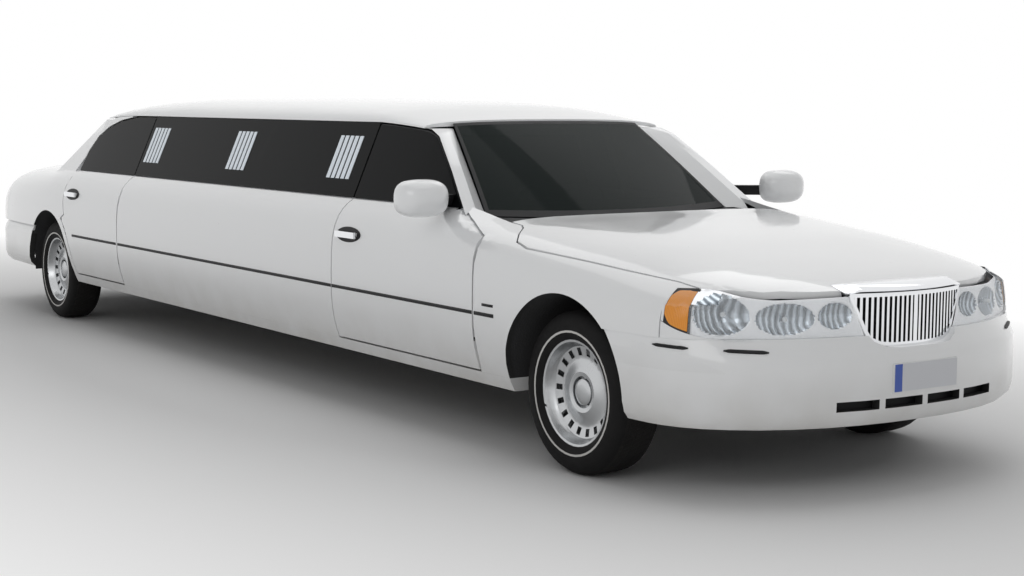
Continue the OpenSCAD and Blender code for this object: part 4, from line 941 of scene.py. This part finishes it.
# %% Bulbs in the two large bowls
BULB_ROOT, BULB_TIP, BULB_R = 0.004, 0.034, 0.010
for side, sign in SIDES.items():
    parts = []
    for angle, _, height, _ in BOWLS[:2]:
        root = Vector(lamp_point(angle, height, LAMP_BACK - BULB_ROOT, sign))
        tip = Vector(lamp_point(angle, height, LAMP_BACK - BULB_TIP, sign))
        bpy.ops.object.select_all(action="DESELECT")
        bpy.ops.mesh.primitive_cylinder_add(vertices=20, radius=BULB_R, depth=(tip - root).length)
        bulb = bpy.context.object
        bulb.matrix_world = (Matrix.Translation((root + tip) / 2)
                             @ (tip - root).to_track_quat("Z", "Y").to_matrix().to_4x4())
        bpy.ops.object.transform_apply(location=True, rotation=True, scale=True)
        edge = bulb.modifiers.new("edge", "BEVEL")
        edge.width, edge.segments = 0.006, 4
        apply_all(bulb)
        parts.append(bulb)
    alone(parts[0])
    parts[1].select_set(True)
    bpy.ops.object.join()
    parts[0].name = parts[0].data.name = f"lamp_bulbs_{side}"
    parts[0].data.materials.append(BULB)
    smooth(parts[0])
    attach(parts[0], "body")
print("bulbs in place")

# %% [markdown]
# ## Bumper details
# A thin black strip in two lengths lies at each corner of the front bumper, four long slots open
# under the plate, and the plate itself is blank with a plain blue band. The strips are bent sheets.
# The plate is a block whose face is cut at the band and inset, so that it has a raised edge.

# %% Rub strips and the dark behind the slots
# Columns: height, inset at the middle, inset at the corners.
BUMPER = [(.560, .006, .001), (.585, .022, .003), (.612, .044, .006), (.640, .062, .010)]
# Columns: name, first and last angle round the nose, height at each end.
RUB_STRIPS = [("outer", 66.0, 79.5, .6075, .6120), ("inner", 43.0, 55.5, .5960, .6030)]
STRIP_HALF, STRIP_SWELL, TIP_SHARE = 0.0065, 0.004, 0.12
INTAKE_ANGLE, INTAKE_INSET, INTAKE_LOW, INTAKE_HIGH = 34, 0.046, 0.345, 0.425


def bumper_inset(angle, z):
    i = next(k for k in range(len(BUMPER) - 1) if z <= BUMPER[k + 1][0])
    low, high = BUMPER[i], BUMPER[i + 1]
    share = (z - low[0]) / (high[0] - low[0])
    return between(between(low[1], high[1], share), between(low[2], high[2], share), corner(angle))


for side, sign in SIDES.items():
    for name, first, last, z_first, z_last in RUB_STRIPS:
        def rub_shape(u, v, sign=sign, first=first, last=last, z_first=z_first, z_last=z_last):
            angle = lamp_angle(first, last, u, sign)
            share = (angle - first) / (last - first)
            tip = min(1, min(share, 1 - share) / TIP_SHARE)
            z = between(z_first, z_last, share) + STRIP_HALF * (2 * v - 1) * (0.35 + 0.65 * tip)
            swell = STRIP_SWELL * (1 - (2 * v - 1) ** 4) + 0.001
            x, y = nose(angle, bumper_inset(angle, z) - swell)
            return x, sign * y, z
        sheet(f"rub_strip_{name}_{side}", rub_shape, (20, 4), [TRIM], "body", thick=0.006)


def intake_shape(u, v):
    x, y = nose(between(-INTAKE_ANGLE, INTAKE_ANGLE, u), INTAKE_INSET)
    return x, y, between(INTAKE_LOW, INTAKE_HIGH, v)


sheet("intake_screen", intake_shape, (30, 3), [TRIM], "body", thick=0.004)
print("strips and screen")

# %% Chrome header over the grille
HEADER_Y, HEADER_BACK, LIP_Z = 0.322, FRONT_X + 0.858, 0.8062
# Columns: share from the front lip to the hood, height over the straight line between them.
HEADER_RISE = [(0, 0), (.04, .0045), (.12, .010), (.28, .0155), (.5, .015), (.75, .009), (1, .0025)]


def header_shape(u, v):
    y = between(-HEADER_Y, HEADER_Y, u)
    front = GRILLE_AXIS_X + 0.002 + math.sqrt((GRILLE_R + 0.001) ** 2 - y * y)
    x = between(front, HEADER_BACK, v)
    end = ease(abs(2 * u - 1), 0.80, 0.97)
    lip = between(LIP_Z, shell_z(front, y) + 0.0015, end)
    rise = between(along(v, HEADER_RISE, 1), 0.002, end)
    return x, y, between(lip, shell_z(HEADER_BACK, y), v) + rise


sheet("grille_header", header_shape, (44, 22), [CHROME], "hood", thick=0.004)
print("header at", round(HEADER_BACK, 3))

# %% Blank plate
PLATE_Y, PLATE_Z, BAND_Y = 0.172, (0.427, 0.533), -0.131
PLATE_BACK, PLATE_FACE = FRONT_X + 1.0591, FRONT_X + 1.0610
PLATE_RIM, PLATE_SUNK = 0.005, -0.0004
plate = added("front_plate", bpy.ops.mesh.primitive_cube_add, size=1)
plate.scale = (PLATE_FACE - PLATE_BACK, 2 * PLATE_Y, PLATE_Z[1] - PLATE_Z[0])
plate.location = ((PLATE_FACE + PLATE_BACK) / 2, 0, sum(PLATE_Z) / 2)
bpy.ops.object.transform_apply(location=True, rotation=True, scale=True)
bpy.ops.object.mode_set(mode="EDIT")
bpy.ops.mesh.select_all(action="SELECT")
bpy.ops.mesh.bisect(plane_co=(0, BAND_Y, 0), plane_no=(0, 1, 0))
bpy.ops.mesh.select_all(action="DESELECT")
bpy.ops.object.mode_set(mode="OBJECT")
for face in plate.data.polygons:
    face.select = face.normal.x > 0.9
bpy.ops.object.mode_set(mode="EDIT")
bpy.ops.mesh.select_mode(type="FACE")
bpy.ops.mesh.inset(thickness=PLATE_RIM, depth=PLATE_SUNK)
bpy.ops.object.mode_set(mode="OBJECT")
plate.data.materials.append(PLATE_WHITE)
plate.data.materials.append(PLATE_BLUE)
for face in plate.data.polygons:
    face.material_index = 1 if face.center.y < BAND_Y and face.normal.x > 0.9 else 0
smooth(plate, 20)
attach(plate, "body")
print("plate faces", len(plate.data.polygons))

# %% [markdown]
# ## Side details
# A thin black moulding runs along the car at its widest line, in one length for each panel so that
# the doors can open. Each door handle sits on a dark oval. A small plain bar marks each front fender.

# %% Mouldings, ovals and bars
MOULDING_Z, BAR_X, BAR_Z = (0.602, 0.618), (2.655, 2.740), (0.646, 0.658)
# Columns: piece, body, rear end, front end.
MOULDINGS = [("fender", "body", 2.594, 2.745), ("front_door", "front_door_{}", 1.305, 2.576),
             ("side", "body", -1.526, 1.296), ("rear_door", "rear_door_{}", -2.345, -1.556)]
# Columns: door, place, height of the handle's middle.
HANDLES = [("front_door", 1.455, 0.872), ("rear_door", -2.355, 0.885)]
OVAL = (0.118, 0.037)
for side, sign in SIDES.items():
    for name, body, rear, front in MOULDINGS:
        side_strip(f"moulding_{name}_{side}", sign, (rear, front), MOULDING_Z, TRIM,
                   body.format(side), 0.006)
    side_strip(f"fender_bar_{side}", sign, BAR_X, BAR_Z, TRIM, "body", 0.004, (8, 4))
    for door, cx, cz in HANDLES:
        def oval(u, v, sign=sign, cx=cx, cz=cz):
            p, q = (2 * u - 1) * -sign, 2 * v - 1
            x = cx + OVAL[0] * p * math.sqrt(1 - q * q / 2)
            z = cz + OVAL[1] * q * math.sqrt(1 - p * p / 2)
            return x, sign * (shell_y(x, z) + 0.0022), z
        sheet(f"handle_oval_{door}_{side}", oval, (16, 10), [TRIM], f"{door}_{side}", thick=0.003)
print("mouldings", 2 * len(MOULDINGS), "ovals", 2 * len(HANDLES))

# %% [markdown]
# ## Windshield and rear window
# Bonded glass has a black painted edge that hides the glue. The two panes are bent both ways, as the
# CAD says, and the outer ring of their faces takes the black finish.

# %% Bent panes with a black edge
SHIELD_OUT, BACK_OUT = Vector((0.57, 0, 0.82)), Vector((-0.46, 0, 0.89))
EAVE_Z = 1.388
BLACK_SIDE, BLACK_FOOT, BLACK_HEAD = 0.016, 0.065, 0.97


def roof_edge(x, bow, crown, y, edge_y):
    """A point on the roof's front or rear edge at half width y."""
    u = abs(y) / edge_y
    rise = (1 - min(u, 1) ** 2.5) ** 0.4
    return Vector((x + bow * (1 - u * u), y, EAVE_Z + (crown - EAVE_Z) * rise))


def shield(u, v):
    k = 2 * u - 1
    low = Vector((FRONT_X - 0.935 + 0.125 * (1 - k * k), 0.712 * k, 0.984 + 0.016 * k * k))
    high = roof_edge(FRONT_X - 1.478, 0.010, 1.430, 0.556 * k, 0.7106)
    high += Vector((0.009, 0, -0.009))
    return low.lerp(high, v) + SHIELD_OUT * 0.026 * v * (1 - v)


def back_pane(u, v):
    k = 1 - 2 * u
    y = 0.706 * k
    low_z = shell_z(REAR_X - 0.240, y) + 0.0095
    low = Vector((REAR_X - 0.222 - 0.038 * (1 - k * k), y, low_z))
    high = roof_edge(REAR_X + 0.490, -0.075, 1.426, 0.590 * k, 0.7091)
    high += Vector((-0.010, 0, -0.008))
    return low.lerp(high, v) + BACK_OUT * 0.034 * v * (1 - v)


def black_edge(u, v):
    return 1 if min(u, 1 - u) < BLACK_SIDE or v < BLACK_FOOT or v > BLACK_HEAD else 0


PANES = (("windshield", shield, FRONT_GLASS), ("rear_window", back_pane, SIDE_GLASS))
for node, shape, glass in PANES:
    pane = sheet(f"{node}_pane", shape, (70, 32), [glass, TRIM], "body", thick=0.005,
                 pick=black_edge)
    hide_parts(node)
print("panes bent")

# %% [markdown]
# ## Seats
# A car seat is foam under leather: its face is crowned, its sides pull in, and sewn channels dimple
# it. Cloth would settle much the same, but these lie flat on their bases, so a finely divided block
# is rounded and its points are moved: crown, waist and channels.

# %% Stuffed pads
PAD_CUTS, PAD_POWER, PAD_WAIST = 23, 7.0, 0.02
CHANNEL_DEPTH, CHANNEL_WIDTH, BASE_EDGE = 0.010, 0.07, 0.012


def pad(name, node, low, high, crown, channels):
    """A pad between two corners, crowned upwards, with sewn channels along x."""
    piece = added(name, bpy.ops.mesh.primitive_cube_add, size=2)
    edit_whole(piece, lambda: bpy.ops.mesh.subdivide(number_cuts=PAD_CUTS))
    middle = (Vector(low) + Vector(high)) / 2
    half = (Vector(high) - Vector(low)) / 2
    for point in piece.data.vertices:
        c, n = point.co, PAD_POWER
        c = c / (abs(c.x) ** n + abs(c.y) ** n + abs(c.z) ** n) ** (1 / n)
        place = (c.y * 0.5 + 0.5) * channels
        line = abs(place - round(place)) if 0.5 < place < channels - 0.5 else 0.5
        dip = CHANNEL_DEPTH * math.exp(-(line / CHANNEL_WIDTH) ** 2)
        lift = crown * (1 - c.x * c.x) * (1 - c.y * c.y) - dip if c.z > 0 else 0
        waist = 1 - PAD_WAIST * (1 - c.z * c.z)
        spot = Vector((half.x * c.x * waist, half.y * c.y * waist, half.z * c.z + lift))
        point.co = middle + spot
    smooth(piece, 60)
    piece.data.materials.append(LEATHER)
    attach(piece, body_of(node))
    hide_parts(node)
    return piece


def block(name, node, low, high, finish):
    """A box with rounded edges."""
    piece = added(name, bpy.ops.mesh.primitive_cube_add, size=1)
    piece.scale = Vector(high) - Vector(low)
    piece.location = (Vector(high) + Vector(low)) / 2
    bpy.ops.object.transform_apply(location=True, rotation=True, scale=True)
    bevel = piece.modifiers.new("edge", "BEVEL")
    bevel.width, bevel.segments = BASE_EDGE, 3
    apply_all(piece)
    smooth(piece, 40)
    piece.data.materials.append(finish)
    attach(piece, body_of(node))
    return piece


SEAT_Z, SEAT_CROWN, PAD_GAP = 0.3146, 0.012, 0.004
LEAN = math.radians(14)
print("pad maker ready")

# %% Front seats and lounge
def seat(name, node, x, y0, y1, depth, channels):
    """A cushion, a leaning back whose face looks forward, and a base."""
    left, right = y0 + PAD_GAP, y1 - PAD_GAP
    pad(f"{name}_cushion", node, (x + 0.05, left, SEAT_Z + 0.125), (x + depth, right, SEAT_Z + 0.262),
        SEAT_CROWN, channels)
    back = pad(f"{name}_back", node, (-0.27, left, -0.066), (0.25, right, 0.060), SEAT_CROWN,
               channels)
    stand = Matrix.Rotation(math.radians(90) - LEAN, 4, "Y")
    hinge = Vector((x + 0.04, 0, SEAT_Z + 0.23))
    place = hinge + Matrix.Rotation(-LEAN, 3, "Y") @ Vector((0.07, 0, 0.26))
    back.data.transform(Matrix.Translation(place) @ stand)
    block(f"{name}_base", node, (x + 0.04, y0 + 0.03, SEAT_Z),
          (x + depth - 0.04, y1 - 0.03, SEAT_Z + 0.128), CARPET)


for side, sign in SIDES.items():
    y0, y1 = sorted((sign * 0.14, sign * 0.66))
    seat(f"front_seat_{side}", "front_seats", FRONT_X - 1.890, y0, y1, 0.52, 5)
    y0, y1 = sorted((sign * 0.33, sign * 0.70))
    pad(f"side_bench_{side}", "lounge_seats", (REAR_X + 1.305, y0, SEAT_Z + 0.125),
        (FRONT_X - 2.705, y1, SEAT_Z + 0.228), 0.008, 4)
    block(f"side_bench_base_{side}", "lounge_seats", (REAR_X + 1.31, y0 + 0.01, SEAT_Z),
          (FRONT_X - 2.71, y1 - 0.01, SEAT_Z + 0.13), CARPET)
seat("rear_lounge", "lounge_seats", REAR_X + 0.580, -0.56, 0.56, 0.56, 9)
print("seats stuffed")

# %% [markdown]
# ## Studio
# A pale floor takes the shadow near the car and fades to white further out. The world is white to the
# camera, to gloss and to glass, and dimmer as a light, so white paint keeps its shape.

# %% Floor, world and lamps
FLOOR_R, FLOOR_SQUEEZE, FADE_FROM, FADE_OVER = 90, 0.45, 1.7, 3.0
WORLD_LIGHT = 0.30
bpy.ops.object.select_all(action="DESELECT")
bpy.ops.mesh.primitive_circle_add(vertices=96, radius=FLOOR_R, fill_type="NGON", location=(0, 0, 0))
floor = bpy.context.object
floor.name = "floor"
b = Bench("pale_floor", base_color=(0.86, 0.86, 0.86, 1), roughness=0.9, specular_ior_level=0.1)
out_x, out_y = b.axis("X") * FLOOR_SQUEEZE, b.axis("Y")
far = out_x.math("SQRT", out_x * out_x + out_y * out_y)
fade = ((far - FADE_FROM) / FADE_OVER).clamped()
glow = b.node("ShaderNodeEmission", None, {"Color": (1, 1, 1, 1), "Strength": 1.0})
blend = b.tree.nodes.new("ShaderNodeMixShader")
b.tree.links.new(fade.socket, blend.inputs[0])
b.tree.links.new(b.shader.outputs[0], blend.inputs[1])
b.tree.links.new(glow.socket, blend.inputs[2])
b.tree.links.new(blend.outputs[0], b.tree.nodes["Material Output"].inputs[0])
floor.data.materials.append(b.material)

world = bpy.data.worlds.new("studio")
scene.world = world
world.use_nodes = True
sky = world.node_tree
rays = sky.nodes.new("ShaderNodeLightPath")
seen = rays.outputs["Is Camera Ray"]
for kind in ("Is Glossy Ray", "Is Transmission Ray"):
    either = sky.nodes.new("ShaderNodeMath")
    either.operation = "MAXIMUM"
    sky.links.new(seen, either.inputs[0])
    sky.links.new(rays.outputs[kind], either.inputs[1])
    seen = either.outputs[0]
level_mix = sky.nodes.new("ShaderNodeMapRange")
sky.links.new(seen, level_mix.inputs["Value"])
level_mix.inputs["To Min"].default_value = WORLD_LIGHT
level_mix.inputs["To Max"].default_value = 1.0
sky.links.new(level_mix.outputs[0], sky.nodes["Background"].inputs["Strength"])
sky.nodes["Background"].inputs["Color"].default_value = (1, 1, 1, 1)


def softbox(name, place, aim, size, watts):
    bpy.ops.object.select_all(action="DESELECT")
    bpy.ops.object.light_add(type="AREA", location=place)
    lamp = bpy.context.object
    lamp.name = name
    lamp.rotation_euler = (Vector(aim) - Vector(place)).to_track_quat("-Z", "Y").to_euler()
    lamp.data.shape, lamp.data.size, lamp.data.size_y = "RECTANGLE", *size
    lamp.data.energy = watts


softbox("overhead", (0.5, 0, 6.5), (0.5, 0, 0), (10, 5), 110)
softbox("key", (8, -8, 5), (1.5, 0, 0.6), (6, 4), 100)
softbox("far_side", (-2, 7, 9), (-1, 0, 0.6), (6, 4), 80)
print("studio lit")
